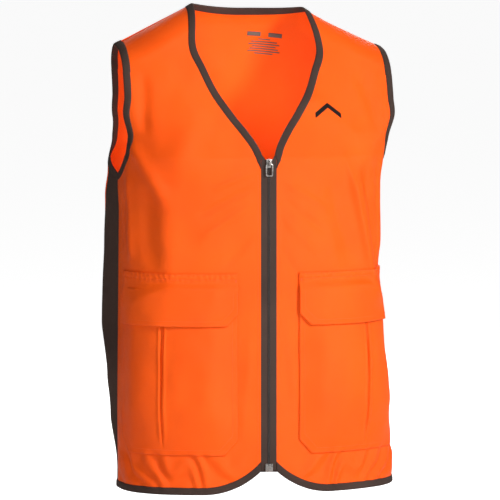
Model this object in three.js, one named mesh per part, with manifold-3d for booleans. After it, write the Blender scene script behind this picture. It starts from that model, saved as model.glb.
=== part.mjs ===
// A sleeveless, V-necked, zip-front field vest, modelled in millimetres with +Z up.
// The origin is midway between the two high shoulder points. -Y is the front, -X the wearer's right.
//
// Every cloth piece is a patch cut from one body form. Below YOKE_Z a place on the form is given by its
// distance along the horizontal section, from the centre front or centre back. Above YOKE_Z it is given by x.
import * as THREE from "three";
import { mergeVertices } from "three/addons/utils/BufferGeometryUtils.js";
import Module from "manifold-3d";

const wasm = await Module();
wasm.setup();

// ---------- driving sizes ----------
const HEM_Z = -731; // overall length below the high shoulder point
const SIDE_HALF = 204; // half the width at the underarm
const HEM_SPREAD = 5; // how much wider each side is at the hem
const FRONT_DEPTH = 134; // centre front ahead of the side seams
const BACK_DEPTH = 118; // centre back behind the side seams
const NECK_HALF = 85; // high shoulder point to the centre line
const SHOULDER_HALF = 205; // shoulder tip to the centre line
const SHOULDER_DROP = 61; // shoulder tip below the high shoulder point
const SHOULDER_DEPTH = 30; // how far the cloth stands from the shoulder line at its top
const SHOULDER_ROLL = 35; // how far down the cloth takes to turn over the shoulder
const BACK_NECK_DROP = 8; // centre back neckline below the high shoulder point
const V_BOTTOM_Z = -226; // bottom of the V neck
const ARMHOLE_Z = -253; // bottom of the armhole
const ARMHOLE_TURN_Z = -170; // where the armhole starts to curve under the arm
const ARMHOLE_ROUND = 1.6; // how full that curve is: 2 is an ellipse, 1 a straight cut
const YOKE_Z = -100; // the fronts swing below this height
const BACK_NARROWING = 5; // the back armhole is cut this much further in
const SIDE_PANEL_TOP = 22; // width of the side panel at the underarm
const SIDE_PANEL_WIDE = 70; // and at its widest
const SIDE_PANEL_FULL_Z = -560; // height where it is widest
const HEM_CORNER = 130; // radius of the rounded front corners
const ZIP_BOTTOM_Z = HEM_Z + 34; // bottom of the zip, above the hem

const CLOTH = 1.4; // thickness of a cloth panel
const GAP = 0.3; // clearance between neighbouring pieces
const SEAM_GAP = 0.7; // clearance along a curved seam
const BINDING_WIDTH = 11;
const BINDING_IN = 1.0; // how far the binding stands inside the cloth line
const BINDING_OUT = 2.4; // and outside it

const ZIP_TOP_Z = -230;
const TAPE_HALF = 12; // half the width over both tapes
const COIL_HALF = 2.4; // half the width over both coils
const TAPE_THICK = 1.2;
const COIL_LOW = 0.2;
const COIL_HIGH = 1.8;
const SLIDER_WIDE = 8.5;
const SLIDER_TALL = 13;
const SLIDER_PLATE = 1.6;
const SLIDER_CLEAR = 0.4; // slider face above the coil
const BRIDGE_WIDE = 2.4;
const BRIDGE_TALL = 8;
const BRIDGE_HIGH = 4.6;
const BRIDGE_WALL = 1.1;
const PULL_WIDE = 11;
const PULL_LONG = 19;
const PULL_BAR = 1.7;
const PULL_THICK = 1.4;
const BOX_WIDE = 11;
const BOX_TALL = 12;
const BOX_PLATE = 1.9;
const STOP_TALL = 3;

const POCKET_INNER = 47; // distance from the centre front to the pocket
const POCKET_WIDE = 200; // width round the body
const POCKET_MOUTH_Z = -426;
const POCKET_BOTTOM_Z = -672;
const POCKET_CORNER_WIDE = 20;
const POCKET_CORNER_TALL = 22;
const POCKET_BULGE = 12; // how far the pouch stands off the front
const BULGE_SIDE = 35; // distance over which it rises from its side seams
const BULGE_BOTTOM = 60; // and from its bottom seam
const PLEAT_FROM_INNER = 114; // pleat line from the pocket's inner edge
const PLEAT_DEEP = 4;
const PLEAT_WIDE = 4;
const BAND_TOP_Z = -398.3;
const BAND_BOTTOM_Z = -410;
const BAND_THICK = 1.0;
const FLAP_BOTTOM_Z = -477;
const FLAP_CORNER_WIDE = 17;
const FLAP_CORNER_TALL = 18;
const FLAP_FOLD = 14; // height over which the flap steps out over the pouch
const TAB_THICK = 1.1; // hook strip and loop strip
const TAB_TOP_Z = -448;
const TAB_BOTTOM_Z = -468;
const TAB_WIDE = 76;
const TAB_FROM_INNER = (POCKET_WIDE - TAB_WIDE) / 2;

const EMBLEM_ACROSS = 100;
const EMBLEM_Z = -154;
const EMBLEM_WIDE = 40;
const EMBLEM_TALL = 24;
const EMBLEM_STROKE = 8;
const EMBLEM_THICK = 0.8;
const LABEL_X = 38;
const LABEL_TOP_Z = -44;
const LABEL_WIDE = 58;
const LABEL_TALL = 36;
const LABEL_THICK = 0.5;

const FRONT = -1;
const BACK = 1;
const SIDES = [
  ["right", -1],
  ["left", 1],
];

// ---------- materials ----------
const cloth = (color, roughness) => new THREE.MeshStandardMaterial({ color, roughness, metalness: 0 });
const orangeCloth = () => cloth(0xff6d24, 0.8);
const brownCloth = () => cloth(0x3b2824, 0.85);
const stretchCloth = () => cloth(0x43322b, 0.95);
const blackThread = () => cloth(0x17120f, 0.7);
const greyPrint = () => cloth(0x8a8580, 0.8);
const hookTape = () => cloth(0xd45a1e, 0.95);
const nylon = () => cloth(0x33231f, 0.5);
const metal = () => new THREE.MeshStandardMaterial({ color: 0x77736f, roughness: 0.35, metalness: 1 });

// ---------- the body form ----------
const clamp = (t) => Math.min(1, Math.max(0, t));
const smooth = (t) => clamp(t) ** 2 * (3 - 2 * clamp(t));
const lerp = (a, b, t) => a + (b - a) * t;

// The upper body widens towards the shoulders, more in front than behind.
const FLARE_FROM_Z = -225;
const FLARE_OVER = 125;
const FRONT_GROWTH = (FRONT_DEPTH - SHOULDER_DEPTH) / -V_BOTTOM_Z; // the front is at its full depth at the V
const FRONT_FORM = {
  roundness: 2.5,
  depth: FRONT_DEPTH,
  top: SHOULDER_DEPTH,
  growth: FRONT_GROWTH,
  flare: 57,
};
const BACK_FORM = { roundness: 2, depth: BACK_DEPTH, top: SHOULDER_DEPTH, growth: 0.28, flare: 30 };
const formOf = (face) => (face === FRONT ? FRONT_FORM : BACK_FORM);

function halfWidth(face, z) {
  const below = SIDE_HALF + HEM_SPREAD * clamp((ARMHOLE_Z - z) / (ARMHOLE_Z - HEM_Z));
  return below + formOf(face).flare * smooth((z - FLARE_FROM_Z) / FLARE_OVER);
}

function shoulderZ(x) {
  const slope = SHOULDER_DROP / (SHOULDER_HALF - NECK_HALF);
  return -slope * Math.max(0, Math.abs(x) - NECK_HALF);
}

// Distance of the form ahead of or behind the plane of the side seams.
function depthAt(face, x, z) {
  const form = formOf(face);
  const deepest = Math.min(form.depth, form.top - form.growth * z);
  const across = clamp(1 - (Math.abs(x) / halfWidth(face, z)) ** form.roundness);
  const roll = 1 - clamp((shoulderZ(x) - z) / SHOULDER_ROLL);
  return Math.max(GAP / 2, deepest * across ** (1 / form.roundness) * Math.sqrt(1 - roll * roll));
}

// One horizontal section of the form, as points with their distance from the centre line.
const SECTION_STEPS = 90;
const sections = new Map();
function sectionAt(face, z) {
  const key = face + ":" + z.toFixed(3);
  if (sections.has(key)) return sections.get(key);
  const points = [];
  let length = 0;
  for (let k = 0; k <= SECTION_STEPS; k++) {
    const angle = (1 - k / SECTION_STEPS) * (Math.PI / 2);
    const x = halfWidth(face, z) * Math.cos(angle) ** (2 / formOf(face).roundness);
    const y = face * depthAt(face, x, z);
    if (k) length += Math.hypot(x - points[k - 1].x, y - points[k - 1].y);
    points.push({ x, y, length });
  }
  sections.set(key, points);
  return points;
}

const girth = (face, z) => sectionAt(face, z)[SECTION_STEPS].length;

function alongSection(face, z, key, value, wanted) {
  const points = sectionAt(face, z);
  let k = 1;
  while (k < SECTION_STEPS && points[k][key] < value) k++;
  const before = points[k - 1];
  const after = points[k];
  const t = (value - before[key]) / (after[key] - before[key] || 1);
  return wanted.map((name) => lerp(before[name], after[name], t));
}

const distanceAtX = (face, x, z) => alongSection(face, z, "x", x, ["length"])[0];

// A place on the form: across is a distance along the section below YOKE_Z, and x above it.
function formPoint(face, across, z) {
  if (z > YOKE_Z) return new THREE.Vector3(across, face * depthAt(face, across, z), z);
  const sign = across < 0 ? -1 : 1;
  const [x, y] = alongSection(face, z, "length", Math.abs(across), ["x", "y"]);
  return new THREE.Vector3(sign * x, y, z);
}

const PROBE = 0.4; // step used to find the direction that the form faces
function formNormal(face, across, z) {
  const level = z > YOKE_Z ? Math.max(z, YOKE_Z + 2 * PROBE) : z;
  const here = formPoint(face, across, level);
  const beside = formPoint(face, across + PROBE, level).sub(formPoint(face, across - PROBE, level));
  const up = here.sub(formPoint(face, across, level - PROBE));
  const normal = beside.cross(up).normalize();
  return face === FRONT ? normal : normal.negate();
}

// ---------- solids ----------
// Closes a grid of outer points and a grid of inner points into one solid facing out.
function solidFromGrids(outer, inner) {
  const rows = outer.length;
  const columns = outer[0].length;
  const index = (layer, i, j) => layer * rows * columns + i * columns + j;
  const triangles = [];
  const quad = (a, b, c, d) => triangles.push(a, b, c, a, c, d);
  for (let i = 0; i < rows - 1; i++)
    for (let j = 0; j < columns - 1; j++) {
      quad(index(0, i, j), index(0, i, j + 1), index(0, i + 1, j + 1), index(0, i + 1, j));
      quad(index(1, i, j), index(1, i + 1, j), index(1, i + 1, j + 1), index(1, i, j + 1));
    }
  for (let i = 0; i < rows - 1; i++) {
    const last = columns - 1;
    quad(index(0, i, 0), index(0, i + 1, 0), index(1, i + 1, 0), index(1, i, 0));
    quad(index(0, i + 1, last), index(0, i, last), index(1, i, last), index(1, i + 1, last));
  }
  for (let j = 0; j < columns - 1; j++) {
    const last = rows - 1;
    quad(index(0, 0, j + 1), index(0, 0, j), index(1, 0, j), index(1, 0, j + 1));
    quad(index(0, last, j), index(0, last, j + 1), index(1, last, j + 1), index(1, last, j));
  }
  const points = [...outer.flat(), ...inner.flat()];
  if (signedVolume(points, triangles) < 0) triangles.reverse();
  const geometry = new THREE.BufferGeometry().setFromPoints(points);
  geometry.setIndex(triangles);
  geometry.computeVertexNormals();
  return geometry;
}

function signedVolume(points, triangles) {
  let volume = 0;
  for (let k = 0; k < triangles.length; k += 3) {
    const [a, b, c] = triangles.slice(k, k + 3).map((n) => points[n]);
    volume += a.dot(b.clone().cross(c));
  }
  return volume;
}

// A patch of the form: place(i, j) gives face, across, z and the two offsets, side is -1 or 1.
function patch(side, rows, columns, place) {
  const layers = ["out", "in"].map((layer) =>
    Array.from({ length: rows }, (_, i) =>
      Array.from({ length: columns }, (_, j) => {
        const at = place(i, j);
        const point = formPoint(at.face, at.across, at.z);
        point.addScaledVector(formNormal(at.face, at.across, at.z), at[layer]);
        if (at.y !== undefined) point.y = at.y;
        point.x *= side;
        return point;
      }),
    ),
  );
  return solidFromGrids(layers[0], layers[1]);
}

function toSolid(geometry) {
  const bare = geometry.index ? geometry.toNonIndexed() : geometry.clone();
  bare.deleteAttribute("normal");
  bare.deleteAttribute("uv");
  const merged = mergeVertices(bare, 1e-4);
  return new wasm.Manifold(
    new wasm.Mesh({
      numProp: 3,
      vertProperties: merged.attributes.position.array,
      triVerts: new Uint32Array(merged.index.array),
    }),
  );
}

function fromSolid(solid) {
  const mesh = solid.getMesh();
  const geometry = new THREE.BufferGeometry();
  geometry.setAttribute("position", new THREE.BufferAttribute(mesh.vertProperties, 3));
  geometry.setIndex(new THREE.BufferAttribute(mesh.triVerts, 1));
  geometry.computeVertexNormals();
  return geometry;
}

const joined = (first, second) => fromSolid(toSolid(first).add(toSolid(second)));

// A box given by its low and high corners.
function block(low, high) {
  const geometry = new THREE.BoxGeometry(high[0] - low[0], high[1] - low[1], high[2] - low[2]);
  return geometry.translate(...low.map((value, k) => (value + high[k]) / 2));
}

// A flat plate on the centre front: an outline in x and z, from one offset ahead of the form to another.
function frontPlate(outline, low, high, side = 1) {
  const geometry = new THREE.ExtrudeGeometry(outline, { depth: high - low, bevelEnabled: false, curveSegments: 6 });
  geometry.rotateX(Math.PI / 2);
  geometry.translate(0, -FRONT_DEPTH - low, 0);
  if (side > 0) return geometry;
  const solid = toSolid(geometry).mirror([1, 0, 0]);
  return fromSolid(solid);
}

const ahead = (offset) => -FRONT_DEPTH - offset;

function outlineOf(points) {
  return new THREE.Shape(points.map(([x, z]) => new THREE.Vector2(x, z)));
}

function roundedOutline(width, low, high, radius) {
  const half = width / 2;
  const shape = new THREE.Shape();
  shape.moveTo(-half + radius, low);
  shape.lineTo(half - radius, low);
  shape.quadraticCurveTo(half, low, half, low + radius);
  shape.lineTo(half, high - radius);
  shape.quadraticCurveTo(half, high, half - radius, high);
  shape.lineTo(-half + radius, high);
  shape.quadraticCurveTo(-half, high, -half, high - radius);
  shape.lineTo(-half, low + radius);
  shape.quadraticCurveTo(-half, low, -half + radius, low);
  return shape;
}

// ---------- edges of the cut pieces ----------
// A smooth curve through a few points of value against height, highest first.
function throughPoints(points, z) {
  let k = 0;
  while (k < points.length - 2 && z < points[k + 1][0]) k++;
  const slope = (n) => {
    const before = points[Math.max(0, n - 1)];
    const after = points[Math.min(points.length - 1, n + 1)];
    return (after[1] - before[1]) / (after[0] - before[0]);
  };
  const step = points[k + 1][0] - points[k][0];
  const t = clamp((z - points[k][0]) / step);
  const ease = t * t * (3 - 2 * t);
  const bend = step * (slope(k) * t * (1 - t) ** 2 - slope(k + 1) * t * t * (1 - t));
  return lerp(points[k][1], points[k + 1][1], ease) + bend;
}

// The front neckline: height, then distance from the centre front.
const NECKLINE = [
  [0, NECK_HALF],
  [-58, 93],
  [-95, 81],
  [-128, 67],
  [-160, 47],
  [-185, 29],
  [-208, 15],
  [V_BOTTOM_Z, 8],
];
const WEDGE_TOP_Z = V_BOTTOM_Z + 5; // where the binding starts to turn alongside the zip tape
const WEDGE_Z = V_BOTTOM_Z - 3;
const WEDGE_END_Z = V_BOTTOM_Z - 2.2 * BINDING_WIDTH; // where the binding ends against the tape
const neckEdge = (z) => {
  const line = throughPoints(NECKLINE, z);
  return lerp(TAPE_HALF + GAP, line, smooth((z - WEDGE_Z) / (WEDGE_TOP_Z - WEDGE_Z)));
};
// Where the front panel starts: one binding width from the neckline, and at the tape below it.
function neckSeam(z) {
  const run = 4;
  const lean = (throughPoints(NECKLINE, z + run) - throughPoints(NECKLINE, z - run)) / (2 * run);
  const beside = throughPoints(NECKLINE, z) + BINDING_WIDTH * Math.hypot(1, lean) + SEAM_GAP;
  return lerp(TAPE_HALF + GAP + SEAM_GAP, beside, smooth((z - WEDGE_END_Z) / (V_BOTTOM_Z - WEDGE_END_Z)));
}

const armholeX = (face, z) =>
  SHOULDER_HALF - (face === BACK ? BACK_NARROWING * smooth((-z - SHOULDER_DROP) / 80) : 0);

// Distance from the side seam to the armhole where it starts to curve.
const armholeReach = (face) =>
  girth(face, ARMHOLE_TURN_Z) - distanceAtX(face, armholeX(face, ARMHOLE_TURN_Z), ARMHOLE_TURN_Z);

// One share of the curve under the arm from the other.
const otherShare = (share) => clamp(1 - clamp(share) ** ARMHOLE_ROUND) ** (1 / ARMHOLE_ROUND);

// The armhole from the underarm up, as a distance from the centre line, widened by an allowance.
function armholeAcross(face, z, allowance) {
  if (z >= ARMHOLE_TURN_Z) return distanceAtX(face, armholeX(face, z), z) - allowance;
  const drop = (ARMHOLE_TURN_Z - z) / (ARMHOLE_TURN_Z - ARMHOLE_Z + allowance);
  return girth(face, z) - (armholeReach(face) + allowance) * otherShare(drop);
}

// The front hem rises round a corner to the zip.
function frontHemZ(across) {
  const inner = TAPE_HALF + GAP;
  const rise = ZIP_BOTTOM_Z - HEM_Z;
  const run = Math.sqrt(2 * HEM_CORNER * rise - rise * rise);
  const left = clamp((inner + run - across) / run) * run;
  return HEM_Z + HEM_CORNER - Math.sqrt(HEM_CORNER * HEM_CORNER - left * left);
}
const CORNER_LIMIT = 1.8; // the binding is cut off square at the zip, so it never reads wider than this
function frontHemSeamZ(across) {
  const step = 0.5;
  const slope = (frontHemZ(across + step) - frontHemZ(across)) / step;
  return frontHemZ(across) + BINDING_WIDTH * Math.min(CORNER_LIMIT, Math.hypot(1, slope)) + SEAM_GAP;
}

const sidePanelWidth = (z) =>
  lerp(SIDE_PANEL_TOP, SIDE_PANEL_WIDE, smooth((ARMHOLE_Z - z) / (ARMHOLE_Z - SIDE_PANEL_FULL_Z)));

// ---------- heights of the rows of points ----------
const UNDERARM_Z = ARMHOLE_Z - BINDING_WIDTH - SEAM_GAP;
const ROW_BLEND_Z = -640; // the rows follow the hem below this height
const LOWER_ROWS = [-720, -700, -670, -640, -600, -555, -510, -465, -420, -380, -340, -300, UNDERARM_Z];
const ARMHOLE_ROWS = [0.8, 4, 9, 17, 28, 43, 60].map((rise) => UNDERARM_Z + rise);
const CHEST_ROWS = [-185, -165, -145, -122, YOKE_Z - GAP / 2];
const YOKE_STEPS = [0, 0.2, 0.4, 0.6, 0.78, 0.92, 1];

const followHem = (level, bottom) =>
  level >= ROW_BLEND_Z ? level : lerp(bottom, ROW_BLEND_Z, (level - LOWER_ROWS[0]) / (ROW_BLEND_Z - LOWER_ROWS[0]));

// A row above YOKE_Z: step runs from 0 at the yoke line to 1 at the top edge of the piece.
const yokeZ = (top, step) => top - (top - YOKE_Z - GAP / 2) * (1 - step) ** 2;
const neckXAt = (step) => neckEdge(YOKE_Z * (1 - step) ** 2);
const neckSeamXAt = (step) =>
  step === 1 ? NECK_HALF + BINDING_WIDTH + SEAM_GAP : neckSeam(YOKE_Z * (1 - step) ** 2);

// ---------- cloth panels ----------
const CORNER_COLUMNS = [0, 2, 5, 9, 15, 23, 33, 46]; // distances from the tape, close together round the corner
const PANEL_COLUMNS = CORNER_COLUMNS.length + 8;
const columnAcross = (inner, outer, j, count) => {
  const near = CORNER_COLUMNS.length;
  if (j < near) return inner + CORNER_COLUMNS[j];
  return lerp(inner + CORNER_COLUMNS[near - 1], outer, (j - near + 1) / (count - near));
};
function frontPanel(side) {
  const levels = [...LOWER_ROWS, ...ARMHOLE_ROWS, ...CHEST_ROWS];
  return patch(side, levels.length, PANEL_COLUMNS, (i, j) => {
    const level = levels[i];
    const outer =
      level <= UNDERARM_Z ? girth(FRONT, level) - GAP / 2 : armholeAcross(FRONT, level, BINDING_WIDTH + SEAM_GAP);
    const across = columnAcross(neckSeam(level), outer, j, PANEL_COLUMNS);
    return { face: FRONT, across, z: followHem(level, frontHemSeamZ(across)), in: 0, out: CLOTH };
  });
}

const YOKE_COLUMNS = 8;
function frontShoulder(side) {
  return patch(side, YOKE_STEPS.length, YOKE_COLUMNS, (i, j) => {
    const step = YOKE_STEPS[i];
    const outer = SHOULDER_HALF - BINDING_WIDTH - SEAM_GAP;
    const across = lerp(neckSeamXAt(step), outer, j / (YOKE_COLUMNS - 1));
    return { face: FRONT, across, z: yokeZ(shoulderZ(across), step), in: 0, out: CLOTH };
  });
}

function backNeckZ(x, allowance) {
  const reach = NECK_HALF + allowance;
  const end = shoulderZ(reach);
  return lerp(-BACK_NECK_DROP - allowance, end, clamp(Math.abs(x) / reach) ** 2);
}

const NECK_COLUMNS = 8; // columns of points from the centre back to the end of the back neckline
const BACK_COLUMNS = 11; // and on to the side
function backPanel() {
  const seam = BINDING_WIDTH + SEAM_GAP;
  const sideSeam = (z) => girth(BACK, z) - sidePanelWidth(z) - SEAM_GAP / 2;
  const levels = [...LOWER_ROWS.slice(0, -1), UNDERARM_Z, ...ARMHOLE_ROWS.slice(2), ...CHEST_ROWS.slice(0, -1)];
  const neckShare = (NECK_HALF + seam) / (SHOULDER_HALF - seam);
  const shareOf = (n) =>
    n <= NECK_COLUMNS
      ? (neckShare * n) / NECK_COLUMNS
      : lerp(neckShare, 1, (n - NECK_COLUMNS) / (BACK_COLUMNS - NECK_COLUMNS));
  return patch(1, levels.length + YOKE_STEPS.length, 2 * BACK_COLUMNS + 1, (i, j) => {
    const share = Math.sign(j - BACK_COLUMNS) * shareOf(Math.abs(j - BACK_COLUMNS));
    if (i < levels.length) {
      const level = levels[i];
      const edge = level <= UNDERARM_Z ? sideSeam(level) : Math.min(sideSeam(level), armholeAcross(BACK, level, seam));
      const z = followHem(level, HEM_Z + BINDING_WIDTH + SEAM_GAP);
      return { face: BACK, across: share * edge, z, in: 0, out: CLOTH };
    }
    const step = YOKE_STEPS[i - levels.length];
    const across = share * (armholeX(BACK, yokeZ(-SHOULDER_DROP, step)) - seam);
    const inNeck = Math.abs(across) < NECK_HALF + seam;
    const top = inNeck ? backNeckZ(across, seam) : shoulderZ(across);
    return { face: BACK, across, z: yokeZ(top, step), in: 0, out: CLOTH };
  });
}

const SIDE_COLUMNS = 5;
const SIDE_ROWS = 14;
function sidePanel(side) {
  const seam = BINDING_WIDTH + SEAM_GAP;
  return patch(side, SIDE_ROWS, SIDE_COLUMNS, (i, j) => {
    const share = j / (SIDE_COLUMNS - 1);
    const beside = (share * SIDE_PANEL_TOP) / (armholeReach(BACK) + seam);
    const top = ARMHOLE_TURN_Z - (ARMHOLE_TURN_Z - ARMHOLE_Z + seam) * otherShare(beside);
    const z = lerp(HEM_Z + seam, top, i / (SIDE_ROWS - 1));
    const from = lerp(GAP / 2, sidePanelWidth(z) - SEAM_GAP / 2, share);
    return { face: BACK, across: girth(BACK, z) - from, z, in: 0, out: CLOTH };
  });
}

// ---------- bindings ----------
const binding = (face, across, z) => ({ face, across, z, in: -BINDING_IN, out: BINDING_OUT });

function neckBindingFront(side) {
  const levels = [-244, -238, -232, -229, -226, -221, -212, -200, -185, -165, -145, -122, YOKE_Z - GAP / 2];
  return patch(side, levels.length, 3, (i, j) => {
    const z = levels[i];
    return binding(FRONT, lerp(neckEdge(z), neckSeam(z) - SEAM_GAP, j / 2), z);
  });
}

function neckBindingShoulder(side) {
  return patch(side, YOKE_STEPS.length, 3, (i, j) => {
    const step = YOKE_STEPS[i];
    const across = lerp(neckXAt(step), neckSeamXAt(step) - SEAM_GAP, j / 2);
    return binding(FRONT, across, yokeZ(shoulderZ(across), step));
  });
}

function neckBindingBack() {
  return patch(1, 3, 2 * NECK_COLUMNS + 1, (i, j) => {
    const share = j / NECK_COLUMNS - 1;
    const allowance = (BINDING_WIDTH * i) / 2;
    const across = share * (NECK_HALF + allowance);
    return binding(BACK, across, backNeckZ(across, allowance));
  });
}

// Half an armhole edge from the underarm to YOKE_Z, as pairs of distance and height for an allowance.
const TURN_STEPS = 7;
function armholeRun(face, allowance) {
  const run = [];
  for (let k = 0; k < TURN_STEPS; k++) {
    const angle = (k / TURN_STEPS) * (Math.PI / 2);
    const z = ARMHOLE_TURN_Z - (ARMHOLE_TURN_Z - ARMHOLE_Z + allowance) * Math.cos(angle) ** (2 / ARMHOLE_ROUND);
    const from = (armholeReach(face) + allowance) * Math.sin(angle) ** (2 / ARMHOLE_ROUND);
    run.push([girth(face, z) - Math.max(GAP / 2, from), z]);
  }
  const above = CHEST_ROWS.filter((z) => z > ARMHOLE_TURN_Z);
  for (const z of [ARMHOLE_TURN_Z, ...above]) run.push([armholeAcross(face, z, allowance), z]);
  return run;
}

function armholeBindingFront(side) {
  const edges = [0, BINDING_WIDTH / 2, BINDING_WIDTH].map((allowance) => armholeRun(FRONT, allowance));
  return patch(side, edges[0].length, 3, (i, j) => binding(FRONT, ...edges[j][i]));
}

// Over the shoulder from the yoke line in front to the underarm behind.
function armholeBinding(side) {
  const edges = [0, BINDING_WIDTH / 2, BINDING_WIDTH].map((allowance) => armholeRun(BACK, allowance));
  const run = edges[0].length;
  const steps = YOKE_STEPS.length;
  return patch(side, 2 * steps + run - 1, 3, (i, j) => {
    const allowance = (BINDING_WIDTH * j) / 2;
    if (i < steps) {
      const across = SHOULDER_HALF - allowance;
      return binding(FRONT, across, yokeZ(shoulderZ(across), YOKE_STEPS[i]));
    }
    if (i < 2 * steps) {
      const step = YOKE_STEPS[2 * steps - 1 - i];
      const across = armholeX(BACK, yokeZ(-SHOULDER_DROP, step)) - allowance;
      return binding(BACK, across, yokeZ(shoulderZ(across), step));
    }
    return binding(BACK, ...edges[j][run - 2 - (i - 2 * steps)]);
  });
}

function hemBindingFront(side) {
  const columns = CORNER_COLUMNS.length + 10;
  return patch(side, 3, columns, (i, j) => {
    const across = columnAcross(TAPE_HALF + GAP, girth(FRONT, HEM_Z) - GAP / 2, j, columns);
    const z = lerp(frontHemZ(across), frontHemSeamZ(across) - SEAM_GAP, i / 2);
    return binding(FRONT, across, z);
  });
}

function hemBindingBack() {
  const columns = 27;
  return patch(1, 3, columns, (i, j) => {
    const z = HEM_Z + (BINDING_WIDTH * i) / 2;
    const share = (2 * j) / (columns - 1) - 1;
    return binding(BACK, share * (girth(BACK, z) - GAP / 2), z);
  });
}

// ---------- zip ----------
function zipTape(side) {
  const inner = COIL_HALF + GAP;
  const beside = BOX_WIDE / 2 + GAP;
  const above = ZIP_BOTTOM_Z + BOX_TALL + GAP;
  const outline = outlineOf([
    [inner, ZIP_TOP_Z],
    [inner, above],
    [beside, above],
    [beside, ZIP_BOTTOM_Z],
    [TAPE_HALF, ZIP_BOTTOM_Z],
    [TAPE_HALF, ZIP_TOP_Z],
  ]);
  return frontPlate(outline, 0, TAPE_THICK, side);
}

// Half of the closed coil, with a ridge down its middle.
function zipCoil(side) {
  const above = ZIP_BOTTOM_Z + BOX_TALL + GAP;
  const below = ZIP_TOP_Z - STOP_TALL - GAP;
  const half = GAP / 2;
  const profile = new THREE.Shape([
    new THREE.Vector2(half, COIL_LOW),
    new THREE.Vector2(COIL_HALF, COIL_LOW),
    new THREE.Vector2(COIL_HALF, COIL_HIGH - half),
    new THREE.Vector2(COIL_HALF / 2, COIL_HIGH),
    new THREE.Vector2(half, COIL_HIGH - half),
  ]);
  const geometry = new THREE.ExtrudeGeometry(profile, { depth: below - above, bevelEnabled: false });
  const solid = toSolid(geometry).rotate([0, 0, 180]).translate([0, -FRONT_DEPTH, above]);
  return fromSolid(side > 0 ? solid.mirror([1, 0, 0]) : solid);
}

function topStop(side) {
  const outline = outlineOf([
    [GAP / 2, ZIP_TOP_Z - STOP_TALL],
    [COIL_HALF, ZIP_TOP_Z - STOP_TALL],
    [COIL_HALF, ZIP_TOP_Z],
    [GAP / 2, ZIP_TOP_Z],
  ]);
  return frontPlate(outline, COIL_LOW, COIL_HIGH, side);
}

const SLIDER_TOP_Z = ZIP_TOP_Z + 3;
const SLIDER_BOTTOM_Z = SLIDER_TOP_Z - SLIDER_TALL;
const SLIDER_LOW = COIL_HIGH + SLIDER_CLEAR;
const SLIDER_HIGH = SLIDER_LOW + SLIDER_PLATE;
const BRIDGE_TOP_Z = SLIDER_TOP_Z - 2;
function zipSlider() {
  const narrow = 0.72; // the lower end of the slider is this share of its width
  const half = SLIDER_WIDE / 2;
  const shape = new THREE.Shape();
  shape.moveTo(-half * narrow, SLIDER_BOTTOM_Z);
  shape.lineTo(half * narrow, SLIDER_BOTTOM_Z);
  shape.quadraticCurveTo(half, lerp(SLIDER_BOTTOM_Z, SLIDER_TOP_Z, 0.4), half, SLIDER_TOP_Z - 1.5);
  shape.quadraticCurveTo(half, SLIDER_TOP_Z, half - 1.5, SLIDER_TOP_Z);
  shape.lineTo(-half + 1.5, SLIDER_TOP_Z);
  shape.quadraticCurveTo(-half, SLIDER_TOP_Z, -half, SLIDER_TOP_Z - 1.5);
  shape.quadraticCurveTo(-half, lerp(SLIDER_BOTTOM_Z, SLIDER_TOP_Z, 0.4), -half * narrow, SLIDER_BOTTOM_Z);
  return joined(frontPlate(shape, SLIDER_LOW, SLIDER_HIGH), sliderBridge());
}

// The arch that carries the pull, seen from the side as a closed ring on the slider's face.
function sliderBridge() {
  const sunk = 0.4; // the feet of the arch run into the plate
  const profile = new THREE.Shape();
  profile.moveTo(0, -sunk);
  profile.lineTo(0, BRIDGE_HIGH - 1.5);
  profile.quadraticCurveTo(0, BRIDGE_HIGH, 1.5, BRIDGE_HIGH);
  profile.lineTo(BRIDGE_TALL - 1.5, BRIDGE_HIGH);
  profile.quadraticCurveTo(BRIDGE_TALL, BRIDGE_HIGH, BRIDGE_TALL, BRIDGE_HIGH - 1.5);
  profile.lineTo(BRIDGE_TALL, -sunk);
  profile.lineTo(BRIDGE_TALL - BRIDGE_WALL, -sunk);
  profile.lineTo(BRIDGE_TALL - BRIDGE_WALL, BRIDGE_HIGH - BRIDGE_WALL);
  profile.lineTo(BRIDGE_WALL, BRIDGE_HIGH - BRIDGE_WALL);
  profile.lineTo(BRIDGE_WALL, -sunk);
  const geometry = new THREE.ExtrudeGeometry(profile, {
    depth: BRIDGE_WIDE,
    bevelEnabled: false,
    curveSegments: 4,
  });
  geometry.applyMatrix4(
    new THREE.Matrix4().set(0, 0, -1, BRIDGE_WIDE / 2, 0, -1, 0, ahead(SLIDER_HIGH), -1, 0, 0, BRIDGE_TOP_Z, 0, 0, 0, 1),
  );
  return geometry;
}

const PULL_LOW = SLIDER_HIGH + 2 * GAP;
const PULL_TOP_Z = BRIDGE_TOP_Z - BRIDGE_TALL + BRIDGE_WALL + GAP + PULL_BAR; // it hangs on the foot of the arch
function zipPull() {
  const outline = roundedOutline(PULL_WIDE, PULL_TOP_Z - PULL_LONG, PULL_TOP_Z, 3);
  const hole = roundedOutline(
    PULL_WIDE - 2 * PULL_BAR,
    PULL_TOP_Z - PULL_LONG + PULL_BAR,
    PULL_TOP_Z - PULL_BAR,
    1.5,
  );
  outline.holes.push(hole);
  return frontPlate(outline, PULL_LOW, PULL_LOW + PULL_THICK);
}

function retainerBox() {
  const half = BOX_WIDE / 2;
  const top = ZIP_BOTTOM_Z + BOX_TALL;
  const cover = frontPlate(
    roundedOutline(BOX_WIDE, ZIP_BOTTOM_Z, top, 1.5),
    COIL_HIGH + SLIDER_CLEAR,
    COIL_HIGH + SLIDER_CLEAR + BOX_PLATE,
  );
  const seat = block([-half, ahead(COIL_HIGH + SLIDER_CLEAR + 0.5), ZIP_BOTTOM_Z + 1], [-GAP, ahead(0), top - 1]);
  return joined(cover, seat);
}

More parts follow.
